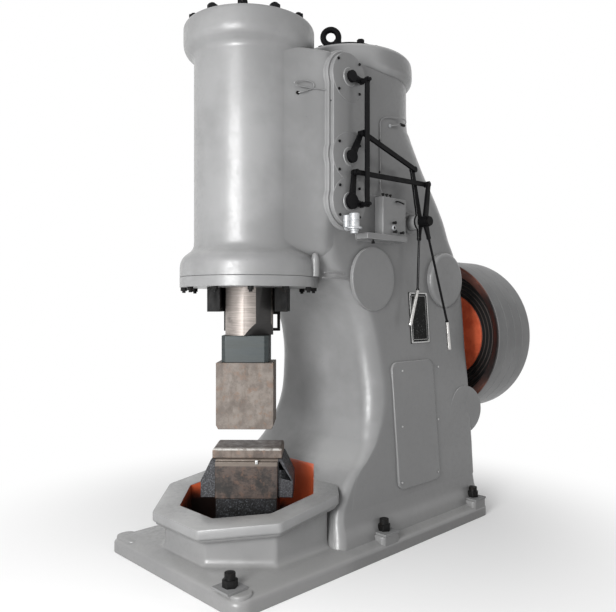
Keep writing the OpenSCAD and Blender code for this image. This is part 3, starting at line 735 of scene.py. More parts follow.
lamp("key", (2.3, -5.4, 2.4), (0.0, 0.2, 1.4), 2.2, 4.0, 500)
print("stage set")

# %% [markdown]
# ## The frame casting
# The column with its foot and the block that holds the cylinders are one smooth
# casting. Its cross section is a rounded rectangle that changes with height:
# narrow and deep at the throat, drawn forward under the front cylinder, round
# at the rear towards the top. A loft is the natural way to make that. A few
# sections are listed and all others follow from a curve through them, so
# the surface has no facets to hide.

# %% sections along the height
def curve_rows(rows, steps):
    """Curve through the rows, so many steps between two of them, level at its ends."""
    p = np.asarray(rows, float)
    return curve_through(np.vstack([p[:1], p, p[-1:]]), steps)


def section_ring(z, front, rear, half, deep_x, deep_y, power, corner, steps=12, flat=22):
    """Ring of points at height z: superellipse corners in front, round corners at the rear,
    and evenly spaced points along the straight sides between them."""
    angle = np.linspace(0, math.pi / 2, steps + 1)
    cos, sin = np.cos(angle), np.sin(angle)
    bent_cos, bent_sin = cos ** (2 / power), sin ** (2 / power)
    parts = [
        np.stack([half - corner + corner * cos, rear - corner + corner * sin], 1),
        np.stack([-(half - corner) - corner * sin, rear - corner + corner * cos], 1),
        np.stack([-(half - deep_x) - deep_x * bent_cos, front + deep_y - deep_y * bent_sin], 1),
        np.stack([half - deep_x + deep_x * bent_sin, front + deep_y - deep_y * bent_cos], 1),
    ]
    t = np.linspace(0, 1, flat + 2)[1:-1, None]
    ring = []
    for i, part in enumerate(parts):
        after = parts[(i + 1) % 4]
        ring += [part, part[-1] + t * (after[0] - part[-1])]
    ring = np.concatenate(ring)
    return np.column_stack([ring, np.full(len(ring), z)])


PIT, PIT_RIM = 0.4158, 0.62


def clear_of_pit(grid, half):
    """Points inside the pit's octagon are pushed back to its rear wall."""
    x = np.abs(grid[..., 0])
    wall = np.where(x < half * math.tan(math.radians(22.5)), half, half * math.sqrt(2) - x)
    grid[..., 1] = np.maximum(grid[..., 1], wall)
    return grid


def loft(name, rows, steps, node, finish=frame_paint, half=PIT):
    """Casting through the rows of sections; below the rim of the pit it keeps clear of the pit."""
    rows = curve_rows(rows, steps)
    grid = np.stack([section_ring(*row) for row in rows])
    low = rows[:, 0] < PIT_RIM
    grid[low] = clear_of_pit(grid[low], half)
    return painted(rings(name, grid), node, finish=finish)


def round_rows(*rows):
    """Rows of (z, front, rear, half, deep, corner) whose front corners are quarter circles."""
    return [(z, front, rear, half, deep, deep, 2.0, corner) for z, front, rear, half, deep, corner in rows]


print("loft ready")

# %% column and cylinder block
REAR = 1.832
column_rows = round_rows(
    (0.296, 0.328, REAR, 0.555, 0.06, 0.05), (0.45, 0.37, REAR, 0.545, 0.06, 0.05),
    (0.54, 0.428, REAR, 0.54, 0.065, 0.05), (0.6, 0.5, REAR, 0.535, 0.075, 0.05),
    (0.69, 0.578, REAR, 0.529, 0.09, 0.05), (0.77, 0.612, REAR, 0.522, 0.11, 0.05),
    (0.85, 0.64, REAR, 0.516, 0.13, 0.05), (0.95, 0.66, REAR, 0.509, 0.145, 0.05),
    (1.06, 0.666, REAR, 0.5, 0.15, 0.05), (1.26, 0.652, REAR, 0.476, 0.15, 0.05),
    (1.42, 0.622, REAR, 0.464, 0.15, 0.05), (1.51, 0.592, REAR, 0.458, 0.15, 0.052),
    (1.57, 0.56, REAR - 0.001, 0.454, 0.15, 0.054), (1.65, 0.5, REAR - 0.002, 0.449, 0.15, 0.058),
    (1.72, 0.42, REAR - 0.003, 0.444, 0.15, 0.063), (1.783, 0.33, REAR - 0.006, 0.44, 0.15, 0.07),
)
block_rows = [
    (1.783, 0.33, 1.826, 0.44, 0.15, 0.15, 2.0, 0.07), (1.85, 0.24, 1.82, 0.439, 0.165, 0.21, 1.8, 0.085),
    (1.92, 0.16, 1.811, 0.438, 0.16, 0.25, 1.6, 0.115), (2.01, 0.11, 1.795, 0.437, 0.15, 0.24, 1.4, 0.15),
] + [(z, 0.1, rear, 0.436, 0.15, 0.25, 1.3, corner) for z, rear, corner in (
    (2.11, 1.766, 0.2), (2.24, 1.722, 0.23), (2.35, 1.672, 0.265), (2.44, 1.622, 0.293),
    (2.53, 1.566, 0.32), (2.62, 1.512, 0.346), (2.77, 1.434, 0.383), (2.84, 1.402, 0.4),
    (2.92, 1.372, 0.412), (3.21, 1.365, 0.412),
)]
column = loft("column", column_rows, 12, "column_casting", base_paint)
block = loft("block", block_rows, 8, "cylinder_block")
print("column and block", len(column.data.polygons), len(block.data.polygons), "faces")

# %% [markdown]
# ### Shoulders between the front cylinder and the block
# The front cylinder's round wall runs into the flat side wall without a crease.
# In plan the shoulder starts on the circle and leaves it along a smooth step,
# so that it ends flush with the wall. Beside the valve chest it swells a little.

# %% shoulders
BARREL, WALL, SWELL = 0.3545, 0.4357, 0.016


def shoulder(name, side, swell):
    """Upright shoulder; at each Y its X is the circle's and the wall's, mixed by 3t^2 - 2t^3."""
    y = np.linspace(-0.05, 0.4, 46)
    t = np.clip((y + 0.03) / 0.32, 0, 1)
    share = 3 * t ** 2 - 2 * t ** 3
    upright = np.linspace(2.02, 3.18, 59)
    levels = np.concatenate([[1.87, 1.9, 1.93, 1.96, 1.99], upright, [3.198, 3.206, 3.2095]])
    shrink = np.concatenate([[0.09, 0.055, 0.028, 0.01, 0.002], 0 * upright, [0.0012, 0.0045, 0.01]])
    wall = WALL + swell * np.clip((levels - 2.08) / 0.1, 0, 1)
    grid = np.empty((len(levels), len(y) + 3, 3))
    circle = np.sqrt(np.maximum(0, BARREL ** 2 - y ** 2))
    grid[:, :len(y), 0] = (1 - share) * circle + share * wall[:, None] - shrink[:, None]
    grid[:, :len(y), 1] = y
    grid[:, len(y):, :2] = [(0.15, 0.4), (0.1, 0.17), (0.15, -0.05)]
    grid[..., 2] = levels[:, None]
    if side < 0:
        grid = (grid * [-1, 1, 1])[:, ::-1]
    painted(rings(name, grid), "cylinder_block")


shoulder("shoulder_right", 1, SWELL)
shoulder("shoulder_left", -1, 0.0)
print("shoulders ready")

# %% [markdown]
# ## The base casting
# The base plate, the collar of the anvil well, its lip and the pit inside are
# one casting. Seen from the ram's axis, every ring of it is a distance for each
# direction: a rounded rectangle for the plate, a soft octagon for the well, a
# square for the hole under the anvil. The rings are stacked from the plate's
# underside over the edge, up the collar, over the sloping lip and down into the
# pit, which closes the surface on itself.

# %% distances from the ram's axis
AROUND = 768
direction = np.linspace(0, 2 * math.pi, AROUND, endpoint=False)
unit = np.stack([np.cos(direction), np.sin(direction)], 1)
base_low, base_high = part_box("base_casting")


def polygon(half, sides=8, turn=0.0, softness=120):
    """Distance to a soft polygon: half over the softness-norm of the direction's share along its normals."""
    normals = np.arange(sides) * 2 * math.pi / sides + turn
    share = np.maximum(0, np.cos(direction[:, None] - normals))
    return half / (share ** softness).sum(1) ** (1 / softness)


def square_45(half):
    """The same for a square that stands on its corner."""
    return polygon(half, 4, math.pi / 4, 60)


def plate_edge(inset_by, corner=0.09):
    """Distance to the plate's outline moved in by a length, found by halving an interval 40 times."""
    low_x, high_x = base_low.x + inset_by, base_high.x - inset_by
    low_y, high_y = base_low.y + inset_by, base_high.y - inset_by * 0.9
    centre = np.array([(low_x + high_x) / 2, (low_y + high_y) / 2])
    size = np.array([(high_x - low_x) / 2, (high_y - low_y) / 2])
    near, far = np.zeros(AROUND), np.full(AROUND, 4.0)
    for _ in range(40):
        middle = (near + far) / 2
        q = np.abs(middle[:, None] * unit - centre) - size + corner
        outside = np.linalg.norm(np.maximum(q, 0), axis=1) + np.minimum(q.max(1), 0) - corner > 0
        far = np.where(outside, middle, far)
        near = np.where(outside, near, middle)
    return near


def ring_at(radius, z):
    """Ring of points at a distance for each direction; the height may change round the ring."""
    return np.column_stack([radius[:, None] * unit, np.broadcast_to(z, AROUND)])

print("an octagon of half width 1 reaches", round(polygon(1.0).max(), 3))

# %% the base as one stack of rings
RIM_Z, RIM_SLOPE = 0.41, math.tan(math.radians(7.4))
COLLAR, LIP = 0.503, 0.5745
FLOOR_LEVEL = 0.0605  # of the pit
plate_levels = [(0.0, 0.0), (0.0, 0.052), (0.001, 0.058), (0.004, 0.066), (0.009, 0.0725), (0.016, 0.0775),
                (0.03, 0.083), (0.097, 0.109)]
lip_levels = [
    (COLLAR, -0.12), (COLLAR + 0.003, -0.106), (COLLAR + 0.012, -0.096), (COLLAR + 0.03, -0.089),
    (0.546, -0.086), (0.554, -0.081), (0.558, -0.072), (0.562, -0.064), (0.569, -0.06),
    (LIP - 0.001, -0.054), (LIP, -0.046), (LIP, -0.007), (LIP - 0.002, -0.002), (LIP - 0.007, 0.0),
    (0.424, 0.0), (0.4185, -0.002), (0.4165, -0.008),
]
stack = [ring_at(plate_edge(depth), z) for depth, z in plate_levels]
foot_out = np.minimum(polygon(COLLAR + 0.045), plate_edge(0.1))
for t in np.linspace(0, 1, 7):  # hollow fillet from the plate up to the collar
    radius = foot_out + (polygon(COLLAR) - foot_out) * (1 - (1 - t) ** 2)
    stack.append(ring_at(radius, 0.1095 + 0.052 * t ** 2))
for half, drop in lip_levels:
    radius = polygon(half)
    stack.append(ring_at(radius, RIM_Z + drop + RIM_SLOPE * radius * unit[:, 1]))
stack += [ring_at(polygon(half), z) for half, z in ((0.4155, 0.075), (0.4135, 0.066), (0.408, FLOOR_LEVEL))]
stack += [ring_at(square_45(0.192), FLOOR_LEVEL), ring_at(square_45(0.1905), 0.0)]
base = painted(rings("base", np.stack(stack), closed_rows=True, sharp=40), "base_casting", finish=base_paint)

foot_rows = round_rows(
    (0.07, 0.205, 1.828, 0.616, 0.07, 0.07), (0.15, 0.23, 1.829, 0.594, 0.066, 0.066),
    (0.22, 0.247, 1.83, 0.569, 0.062, 0.062), (0.3, 0.262, 1.83, 0.5545, 0.06, 0.06),
    (0.36, 0.292, 1.829, 0.55, 0.06, 0.06), (0.45, 0.35, 1.829, 0.5435, 0.06, 0.06),
    (0.54, 0.425, 1.829, 0.538, 0.065, 0.06), (0.6, 0.515, 1.829, 0.533, 0.075, 0.06),
)
loft("foot", foot_rows, 10, "base_casting", base_paint, half=PIT - 0.0006)
print("base", len(base.data.polygons), "faces")

# %% bosses for the foundation bolts
bosses = [  # inner and outer X, front and rear Y, top, corner
    (0.445, 0.66, -0.61, -0.48, 0.098, 0.056), (0.525, 0.676, 0.545, 0.715, 0.128, 0.03),
    (0.525, 0.676, 1.616, 1.786, 0.128, 0.03),
]
for i, (inner, outer, near, far, top, corner) in enumerate(bosses):
    outline = round_rect(outer - inner, far - near, corner, ((inner + outer) / 2, (near + far) / 2))
    for mark, side in (("right", outline), ("left", (outline * [-1, 1])[::-1])):
        painted(plate(f"boss_{mark}_{i + 1}", side, 0.03, top, 0.01), "base_casting", finish=base_paint)
print("bosses", 2 * len(bosses))

# %% [markdown]
# ## Cylinders
# Both cylinders, their bands and covers are turned. The front one stands on a
# wide flange, and above the flange the shoulders join it to the block. The rear
# one grows out of the block, with a wide band and a domed shoulder at its top.

# %% front cylinder, gland ring, rear barrel
SEAM, TOP = (corner.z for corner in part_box("front_cylinder"))
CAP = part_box("rear_cover")[0].z
SPACING = 0.95

front = [
    (0.2505, SEAM + 0.001), (0.4455, SEAM + 0.001, 0.003), (0.4455, SEAM + 0.07, 0.03),
    (0.436, SEAM + 0.106, 0.02), (0.418, SEAM + 0.132, 0.02), (0.386, SEAM + 0.155, 0.02),
    (0.365, SEAM + 0.176, 0.02), (0.355, SEAM + 0.205, 0.03), (0.355, TOP - 0.216, 0.01),
    (0.368, TOP - 0.192, 0.012), (0.405, TOP - 0.161, 0.01), (0.4195, TOP - 0.134, 0.016),
    (0.4215, TOP - 0.104, 0.01), (0.4215, TOP - 0.014, 0.008), (0.4145, TOP - 0.001, 0.004),
    (0.3315, TOP - 0.001, 0.002), (0.3305, TOP - 0.05, 0.001), (0.2505, TOP - 0.05),
]
painted(turned("hammer_cylinder", front, around=192, closed=True), "front_cylinder")
low, high = (corner.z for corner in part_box("gland_ring"))
ring = [(0.1552, low), (0.4455, low, 0.004), (0.4455, high - 0.001, 0.003), (0.1552, high - 0.001)]
painted(turned("gland", ring, around=192, closed=True), "gland_ring")
rear = [
    (0.0, 2.3), (0.415, 2.3), (0.415, TOP - 0.174, 0.012), (0.445, TOP - 0.166, 0.01),
    (0.467, TOP - 0.144, 0.014), (0.4755, TOP - 0.114, 0.012), (0.4755, TOP - 0.049, 0.016),
    (0.469, TOP - 0.007, 0.012), (0.445, TOP + 0.021, 0.02), (0.3, TOP + 0.061, 0.01),
    (0.27, CAP - 0.001, 0.006), (0.0, CAP - 0.001),
]
painted(turned("compressor_cylinder", rear, (0, SPACING, 0), around=192), "cylinder_block")
print("cylinders ready")

# %% [markdown]
# ## Faces on the sides
# Discs, plates and bosses that stand out of the casting are turned or pushed out
# along X. Each stands a little into the casting, so no gap shows at its foot.
# The round covers and the rear lugs are on both sides.

# %% valve chest with its plate and covers
VALVE_Y = 0.418
VALVES = (3.066, 2.556, 2.268)
LEVER = (1.138, 2.2)
NARROWER = 0.01  # half width of the waist against the discs


def chest_outline(radius, steps=240):
    """Outline round the three valves: at each height the widest of the discs' half chords and the waist."""
    low, high = VALVES[2] - radius, VALVES[0] + radius
    z = (low + high) / 2 - (high - low) / 2 * np.cos(np.linspace(0, math.pi, steps))
    half = np.sqrt(np.maximum(0, radius ** 2 - (z[:, None] - np.array(VALVES)) ** 2)).max(1)
    half = np.maximum(half, np.where((z > VALVES[2]) & (z < VALVES[0]), radius - NARROWER, 0))
    right = np.column_stack([VALVE_Y + half, z])
    left = np.column_stack([VALVE_Y - half[1:-1], z[1:-1]])[::-1]
    return np.concatenate([right, left])


def chest(name, levels, node):
    """Outlines of the chest stacked along X; each level is (radius, x)."""
    grid = stacked((chest_outline(radius), x) for radius, x in levels)
    painted(rings(name, on_side(grid), sharp=30), node)


chest("valve_chest", [(0.18, 0.36), (0.18, 0.446), (0.179, 0.449), (0.175, 0.4525), (0.171, 0.4545),
                      (0.169, 0.4565), (0.168, 0.4655), (0.167, 0.4685), (0.1655, 0.4695)], "cylinder_block")
chest("valve_cover_plate", [(0.154, 0.469), (0.154, 0.494), (0.1525, 0.496), (0.151, 0.4965)], "valve_plate")
cover = [(0.0, 0.494), (0.1535, 0.494), (0.1535, 0.4998, 0.0025), (0.06, 0.5, 0.002), (0.058, 0.506, 0.003),
         (0.03, 0.5062), (0.03, 0.5), (0.0, 0.5)]
for i, z in enumerate(VALVES):
    painted(turned(f"valve_cover_{i + 1}", cover, (0, VALVE_Y, z), "x", around=96), "valve_covers")
print("valve chest with", len(VALVES), "covers")

# %% lever boss, pad, domes and lugs
boss = [(0.0, 0.36), (0.088, 0.36), (0.08, 0.437, 0.006), (0.08, 0.4457, 0.003), (0.0, 0.4457)]
painted(turned("lever_boss", boss, (0, *LEVER), "x", around=96), "cylinder_block")
outline = round_rect(0.45, 0.32, 0.02, (0.77, 2.194))
painted(plate("lubricator_pad", outline, 0.38, 0.4398, 0.004, on_side), "cylinder_block")
for side, mark in ((1, "right"), (-1, "left")):
    dome = [(0.0, 0.36), (0.222, 0.36), (0.21, 0.448, 0.012), (0.21, 0.466, 0.008), (0.2, 0.478, 0.006),
            (0.182, 0.4835, 0.004), (0.0, 0.4837)]
    dome = [(radius, side * x, *bend) for radius, x, *bend in dome]
    painted(turned(f"dome_{mark}", dome, (0, 1.555, 1.795), "x"), "cylinder_block")
    lug = [(0.0, side * 0.4), (0.19, side * 0.4), (0.19, side * 0.5545, 0.014), (0.0, side * 0.5547)]
    lug = painted(turned(f"rear_lug_{mark}", lug, (0, 1.73, 0.79), "x", around=96), "column_casting")
    points = np.empty(len(lug.data.vertices) * 3)
    lug.data.vertices.foreach_get("co", points)
    points = points.reshape(-1, 3)
    reach = 0.517 + 0.03 * np.clip((points[:, 1] - 1.79) / 0.13, 0, 1)  # flush with the wall in front
    points[:, 0] = side * np.minimum(side * points[:, 0], reach)
    lug.data.vertices.foreach_set("co", points.ravel())
print("side faces ready")

# %% [markdown]
# ## Pieces that keep the shape of their solid
# Bars, dies, nuts and boxes are already right as solids. They only lack the
# small chamfers that every filed or forged edge has, and those catch the light.
# So each is copied, its loose triangles are merged into clean faces, and a
# Bevel modifier rounds its edges.

# %% a solid with rounded edges
SHARP = math.radians(35)


def dress(node, edge, finish=None):
    """Copy of a solid with its triangles merged, its edges bevelled, and a finish; it stands
    for the solid."""
    solid = frame["nodes"][node]
    slot = solid.data.materials[0].name.split(".")[0]
    mesh = solid.data.copy()
    mesh.materials.clear()
    work = bmesh.new()
    work.from_mesh(mesh)
    bmesh.ops.remove_doubles(work, verts=work.verts, dist=1e-5)
    bmesh.ops.dissolve_limit(work, angle_limit=math.radians(0.8), verts=work.verts, edges=work.edges)
    work.to_mesh(mesh)
    work.free()
    mesh.shade_smooth()
    mesh.set_sharp_from_angle(angle=SHARP)
    piece = bpy.data.objects.new(node + "_finished", mesh)
    scene.collection.objects.link(piece)
    bevel = piece.modifiers.new("edge", "BEVEL")
    bevel.width, bevel.segments = edge, 2
    bevel.limit_method, bevel.angle_limit = "ANGLE", SHARP
    bevel.use_clamp_overlap = True
    bevel.harden_normals = False
    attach(piece, solid["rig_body"])
    painted(piece, node, slot, finish)

print("edges sharper than", round(math.degrees(SHARP)), "degrees are rounded")

# %% dressed solids
DRESSED = (
    ("front_cover", 0.003, black_paint), ("rear_cover", 0.003), ("lifting_ring", 0.001),
    ("gland_studs", 0.001), ("ram_guide", 0.003), ("guide_strap", 0.002), ("ram", 0.002),
    ("ram_shank", 0.004), ("upper_die", 0.004), ("lower_die", 0.005, low_die_steel),
    ("die_holder", 0.005, holder_steel), ("anvil", 0.004), ("upper_valve", 0.001), ("middle_valve", 0.001),
    ("lower_valve", 0.001), ("link_rod", 0.001), ("rod_1", 0.001), ("rod_2", 0.001), ("lever_2", 0.001),
    ("lever_shaft", 0.001), ("lever_1", 0.001, hub_paint), ("lubricator", 0.005),
    ("lubricator_shelf", 0.003), ("side_cover", 0.003), ("access_cover", 0.004), ("name_plate", 0.001),
    ("bearing_housing", 0.004), ("crankshaft", 0.003), ("foundation_bolts", 0.002, bolt_steel),
)
for row in DRESSED:
    dress(*row)
print("dressed solids", len(DRESSED))

# %% [markdown]
# ## The flywheel
# The wheel is turned: a hub, a flat web, a dark face with fine grooves, a
# slanting lip, and a rim with three shallow scored lines round it. The rear
# side repeats the same forms more plainly.

# %% flywheel
SHAFT_Z = 1.344
low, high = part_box("flywheel")
wheel_r, front_y, rear_y = (high.x - low.x) / 2, low.y, high.y
rim, web, face = wheel_r - 0.0002, front_y + 0.18, front_y + 0.196
profile = [(0.075, front_y + 0.041), (0.148, front_y + 0.041, 0.006), (0.15, web, 0.01), (0.377, web, 0.004),
           (0.3785, face, 0.003)]
for radius in np.arange(0.405, 0.54, 0.033):  # grooves 7 mm wide in the dark face
    profile += [(radius, face), (radius + 0.001, front_y + 0.201), (radius + 0.006, front_y + 0.201),
                (radius + 0.007, face)]
profile += [(wheel_r - 0.105, face, 0.01), (wheel_r - 0.09, front_y + 0.06, 0.008),
            (wheel_r - 0.02, front_y + 0.001, 0.006), (rim, front_y + 0.001, 0.008)]
for y in front_y + np.array([0.124, 0.248, 0.372]):  # lines 4 mm wide scored round the rim
    profile += [(rim, y - 0.002), (wheel_r - 0.003, y - 0.0012), (wheel_r - 0.003, y + 0.0012),
                (rim, y + 0.002)]
profile += [(rim, rear_y - 0.001, 0.008), (wheel_r - 0.06, rear_y - 0.001, 0.008),
            (wheel_r - 0.06, front_y + 0.33, 0.012), (0.15, front_y + 0.33, 0.01),
            (0.148, rear_y - 0.041, 0.006), (0.075, rear_y - 0.041)]
wheel = turned("flywheel_turned", profile, (0, 0, SHAFT_Z), "y", "flywheel", around=192, closed=True)
painted(wheel, "flywheel", "wheel_iron", wheel_finish("wheel_iron_bands", SHAFT_Z, front_y))
print("flywheel of radius", round(wheel_r, 3), "with", len(wheel.data.polygons), "faces")

# %% [markdown]
# ## Screws and nuts
# Small fasteners repeat, so one turned or six-sided profile is worked out once
# and copied to every place in the same array. All the copies together are one
# piece.

# %% a fastener at many places
def fasteners(name, node, profile, places, axis="z", around=14, slot="black_steel", finish=None):
    """Profile of (radius, height) turned at each place: one array of places by rings by points."""
    cell = revolved(np.array(profile), axis, around, 0.2)
    points = np.array(places)[:, None, None, :] + cell
    faces = [grid_faces(len(profile), around, first=i * cell[..., 0].size) for i in range(len(places))]
    piece = build(name, points.reshape(-1, 3), np.concatenate(faces).tolist(), sharp=30)
    return painted(piece, node, slot, finish)


HEAD = [(0.0, -0.004), (0.009, -0.004), (0.009, 0.005), (0.007, 0.007), (0.0, 0.0072)]
cover_screws = [(0.313, 3.16), (0.512, 3.17), (0.318, 2.97), (0.512, 2.976), (0.281, 2.891), (0.284, 2.731),
                (0.553, 2.898), (0.553, 2.735), (0.322, 2.64), (0.322, 2.462), (0.514, 2.64), (0.514, 2.462),
                (0.327, 2.364), (0.327, 2.177), (0.514, 2.177), (0.512, 2.362)]
ON_COVER, ON_CHEST = 0.5003, 0.4703  # X of a cover's face and of the chest's rim
screws = [(ON_COVER if abs(y - VALVE_Y) < 0.11 else ON_CHEST, y, z) for y, z in cover_screws]
fasteners("cover_screws", "valve_covers", HEAD, screws, "x", finish=black_paint)

low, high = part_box("access_cover")
middle, reach, rise = (low.y + high.y) / 2, (high.y - low.y) / 2 - 0.028, (high.z - low.z) / 2 - 0.028
screws = [(high.x - 0.0002, middle + a * reach, (low.z + high.z) / 2 + b * rise)
          for a in (-1, 1) for b in (-0.94, 0.0, 0.94)]
SMALL_HEAD = [(0.0, -0.004), (0.007, -0.004), (0.007, 0.002), (0.004, 0.004), (0.0, 0.0042)]
fasteners("access_screws", "access_cover", SMALL_HEAD, screws, "x", finish=border_metal)
print("screws", len(cover_screws), "and", len(screws))

# %% [markdown]
# ## Oil pipes
# Thin steel pipes bring oil from the lubricator to the two cylinders. Each
# leaves a nipple, makes one open loop so that it can flex, and then lies along
# the casting. Pressed flat against the wall they would look painted on, so they
# stand a few millimetres clear.

# %% pipes with their nipples
def line(name, points, radius, steps=8, around=10, node="cylinder_block", finish=None):
    """Pipe or bead along a smooth line through the points."""
    painted(tube(name, smooth_line(points, steps), radius, around=around), node, finish=finish)


PIPE = 0.004
front_pipe = [
    (0.374, 0.078, 2.917), (0.392, 0.092, 2.921), (0.402, 0.125, 2.934), (0.416, 0.176, 2.962),
    (0.416, 0.17, 2.99), (0.404, 0.12, 2.996), (0.392, 0.062, 2.984), (0.388, 0.04, 2.966), (0.39, 0.075, 2.958),
    (0.405, 0.14, 2.957), (0.436, 0.215, 2.957), (0.458, 0.27, 2.953), (0.4745, 0.33, 2.942), (0.4745, 0.402, 2.927),
]
rear_pipe = [
    (0.436, 0.905, 2.86), (0.456, 0.912, 2.861), (0.468, 0.95, 2.868), (0.47, 1.01, 2.882), (0.468, 1.048, 2.905),
    (0.462, 1.04, 2.924), (0.456, 0.99, 2.926), (0.45, 0.9, 2.916), (0.444, 0.83, 2.898), (0.442, 0.798, 2.866),
    (0.4415, 0.795, 2.8), (0.4415, 0.795, 2.6), (0.4415, 0.795, 2.44), (0.456, 0.797, 2.375), (0.47, 0.799, 2.336),
]
line("front_pipe", front_pipe, PIPE)
line("rear_pipe", rear_pipe, PIPE)
NIPPLE = [(0.0, -0.02), (0.021, -0.02), (0.021, 0.004), (0.012, 0.006), (0.012, 0.018), (0.0, 0.02)]
fasteners("rear_nipple", "cylinder_block", NIPPLE, [(0.424, 0.905, 2.86)], "x", 6, "pump_paint")
fasteners("rear_joint", "cylinder_block", [(0.0, 0.0), (0.01, 0.0), (0.01, 0.045), (0.0, 0.045)],
          [(0.469, 0.985, 2.879)], "y", 6)
fasteners("front_nipple", "front_cylinder", NIPPLE, [(0.362, 0.078, 2.917)], "x", 6)
fasteners("pipe_clip", "cylinder_block", HEAD, [(0.437, 0.795, 2.737), (0.437, 0.795, 2.52)], "x")
print("pipes through", len(front_pipe), "and", len(rear_pipe), "points")

# %% [markdown]
# ## Grips
# Below its bend each hand lever is turned bright, a little thicker towards the
# free end, and rounded off. A tube whose radius grows along the line makes it.

# %% grips
def grip(name, x, bend, end, lever):
    """Bright sleeve from a fiftieth of the way below the bend to the end."""
    bend, end = np.array(bend), np.array(end)
    share = np.array([0.02, 0.03, 0.3, 0.6, 0.9, 0.97, 1.0, 1.012, 1.018])
    radius = np.array([0.008, 0.0122, 0.0124, 0.0132, 0.0142, 0.0142, 0.0128, 0.0085, 0.002])
    way = np.column_stack([np.full(len(share), x), bend + share[:, None] * (end - bend)])
    painted(tube(name, way, radius, lever, around=24, sharp=50), lever, "polished_steel", grip_steel)


grip("grip_1", 0.521, (1.116, 1.717), (1.025, 1.463), "lever_1")
grip("grip_2", 0.569, (1.412, 1.486), (1.442, 1.277), "lever_2")
print("grips ready")

# %% [markdown]
# ## Lubricator and pump
# The lubricator is a painted box on a shelf. It has hand plungers on top, a
# crank, and a round sight glass low on its face. The small oil pump beside it
# is two turned pots at the end of an arm.

# %% lubricator details
_, box_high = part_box("lubricator")
face_x = box_high.x
plunger = [(0.0, 0.0), (0.006, 0.0), (0.006, 0.016), (0.011, 0.018), (0.011, 0.026), (0.0, 0.028)]
fasteners("plungers", "lubricator", plunger,
          [(face_x - 0.026, y, box_high.z - 0.001) for y in (0.765, 0.805, 0.845)])
crank = [(face_x - 0.002, 0.872, 2.316), (face_x + 0.016, 0.874, 2.316), (face_x + 0.018, 0.9, 2.313),
         (face_x + 0.018, 0.94, 2.306)]
line("plunger_crank", crank, 0.0055, finish=black_steel)
GLASS = (face_x, 0.848, 2.135)
sight_frame = [(0.0, -0.002), (0.019, -0.002), (0.019, 0.008), (0.013, 0.01), (0.013, 0.006), (0.0, 0.006)]
fasteners("sight_frame", "lubricator", sight_frame, [GLASS], "x", 24, "pump_paint")
sight_glass = [(0.0, 0.0), (0.011, 0.0), (0.011, 0.0075), (0.0, 0.009)]
fasteners("sight_glass", "lubricator", sight_glass, [GLASS], "x", 20)
cock = [(0.0, -0.002), (0.008, -0.002), (0.008, 0.016), (0.011, 0.018), (0.011, 0.026), (0.0, 0.028)]
fasteners("drain_cock", "lubricator", cock,
          [(face_x, 0.848, 2.108), (face_x, 0.842, 2.168), (face_x, 0.926, 2.105)], "x", 8)
bolt = [(0.0, 0.0), (0.013, 0.0), (0.013, 0.014), (0.006, 0.014), (0.006, 0.03), (0.0, 0.03)]
fasteners("shelf_bolt", "lubricator_shelf", bolt, [(0.5, 0.65, 2.016)], around=6)
print("fittings of the lubricator ready")

# %% oil pump
pot = [
    (0.0, 2.062), (0.024, 2.062, 0.003), (0.024, 2.078, 0.002), (0.03, 2.08), (0.03, 2.09),
    (0.05, 2.09, 0.002), (0.05, 2.101, 0.003), (0.033, 2.104, 0.003), (0.033, 2.14, 0.001), (0.0315, 2.141),
    (0.0315, 2.145), (0.033, 2.146), (0.033, 2.188, 0.004), (0.02, 2.194, 0.002), (0.0, 2.195),
]
small = [(0.0, 2.101), (0.022, 2.101), (0.022, 2.176, 0.004), (0.0, 2.18)]
arm = [(0.0, 0.4695), (0.0175, 0.4695), (0.0175, 0.52), (0.0, 0.52)]
painted(turned("pump_pot", pot, (0.54, VALVE_Y, 0), around=48), "oil_pump", "pump_paint")
painted(turned("pump_second_pot", small, (0.512, VALVE_Y - 0.04, 0), around=32), "oil_pump", "pump_paint")
painted(turned("pump_arm", arm, (0, VALVE_Y, 2.1), "x", around=24), "oil_pump", "pump_paint")
print("oil pump ready")

# %% [markdown]
# ## Name plate
# The plate hangs on the sloping side. It carries a bright border, four screws
# and a bare dark field, with only the faint hammered grain of its finish.

# %% border and screws of the name plate
PLATE_CORNER, PLATE_TILT = (0.47, 1.105, 1.33), math.radians(3.9)
PLATE_SIZE = (0.22, 0.37)


def on_plate(grid):
    """(along, up, out) on the plate to the machine: up leans back by the plate's tilt."""
    along, up, out = grid[..., 0], grid[..., 1], grid[..., 2]
    cos, sin = math.cos(PLATE_TILT), math.sin(PLATE_TILT)
    return np.stack([PLATE_CORNER[0] + out * cos - up * sin, PLATE_CORNER[1] + along,
                     PLATE_CORNER[2] + up * cos + out * sin], -1)


def border(name, margin, corner, width, low, high):
    """Flat frame on the plate: four rings of points, outer and inner, low and high, closed on themselves."""
    outer = round_rect(PLATE_SIZE[0] - margin, PLATE_SIZE[1] - margin, corner, np.array(PLATE_SIZE) / 2)
    inner = inset(outer, width)
    grid = on_plate(stacked([(outer, low), (outer, high), (inner, high), (inner, low)]))
    painted(rings(name, grid, closed_rows=True), "name_plate", "plate_metal", border_metal)


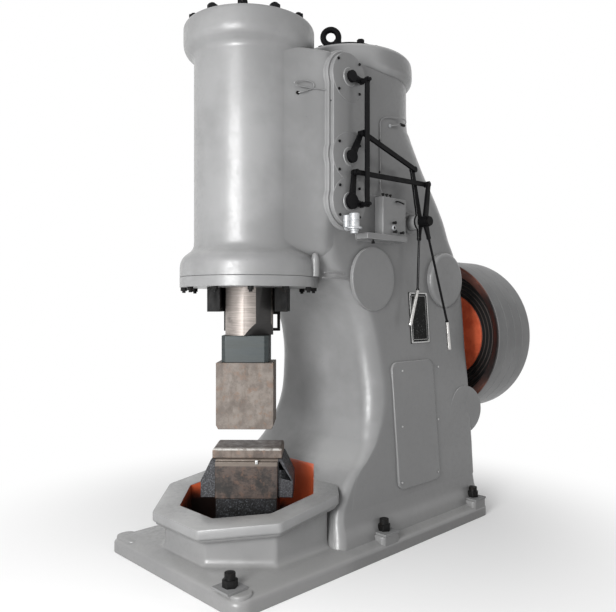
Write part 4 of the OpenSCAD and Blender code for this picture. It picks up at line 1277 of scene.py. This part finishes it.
border("plate_border", 0.004, 0.01, 0.009, 0.004, 0.0085)
border("plate_line", 0.05, 0.006, 0.0025, 0.005, 0.007)
corners = on_plate(np.array([(a, b, 0.0062) for a in (0.018, 0.202) for b in (0.018, 0.352)]))
screw = [(0.0, -0.002), (0.0055, -0.002), (0.0055, 0.002), (0.0, 0.003)]
fasteners("plate_screws", "name_plate", screw, corners, "x", 12, "plate_metal", border_metal)
print("name plate", PLATE_SIZE)

# %% [markdown]
# ## Small castings and beads
# Two beads of filler lie along the seam of the column and the block, beside the
# front flange, where a small boss stands. A short curled bump is on the side
# wall lower down.

# %% seam beads, flange boss, wall bump
BEAD = 0.0055
line("seam_bead", [(0.437, 0.25, 1.811), (0.44, 0.34, 1.811), (0.438, 0.43, 1.811)], BEAD, 6, 14)
line("seam_line", [(0.437, 0.235, 1.778), (0.44, 0.35, 1.778), (0.439, 0.492, 1.778)], BEAD, 6, 14)
boss = [(0.0, 1.785), (0.028, 1.785), (0.028, 1.895, 0.02), (0.016, 1.93, 0.01), (0.0, 1.935)]
painted(turned("flange_boss", boss, (0.4, 0.205, 0), around=40), "cylinder_block")
line("wall_bump", [(0.452, 0.985, 1.295), (0.4575, 0.968, 1.335), (0.455, 0.955, 1.35), (0.452, 0.975, 1.362),
                   (0.45, 1.01, 1.352)], 0.0075, 6, 14, "column_casting")
print("beads ready")

# %% [markdown]
# ### Key of the lower die
# A small bright key stands in the front of the die holder, which is turned by
# 45 degrees, so a plate is laid on that slanting face.

# %% key of the lower die
def on_die_front(grid, half=0.1895):
    """(along, height, out) on the front of the die holder, which stands at 45 degrees."""
    along, height, out = grid[..., 0], grid[..., 1], grid[..., 2] + half
    return np.stack([(along + out) / math.sqrt(2), (along - out) / math.sqrt(2), height], -1)


key = round_rect(0.018, 0.026, 0.003, (0.065, 0.63))
painted(plate("die_key", key, -0.01, 0.012, 0.002, on_die_front), "die_holder", "die_steel", border_metal)
print("details ready")

# %% size of the visual box
low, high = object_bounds()
print("visual box", [round(v, 3) for v in low], [round(v, 3) for v in high])
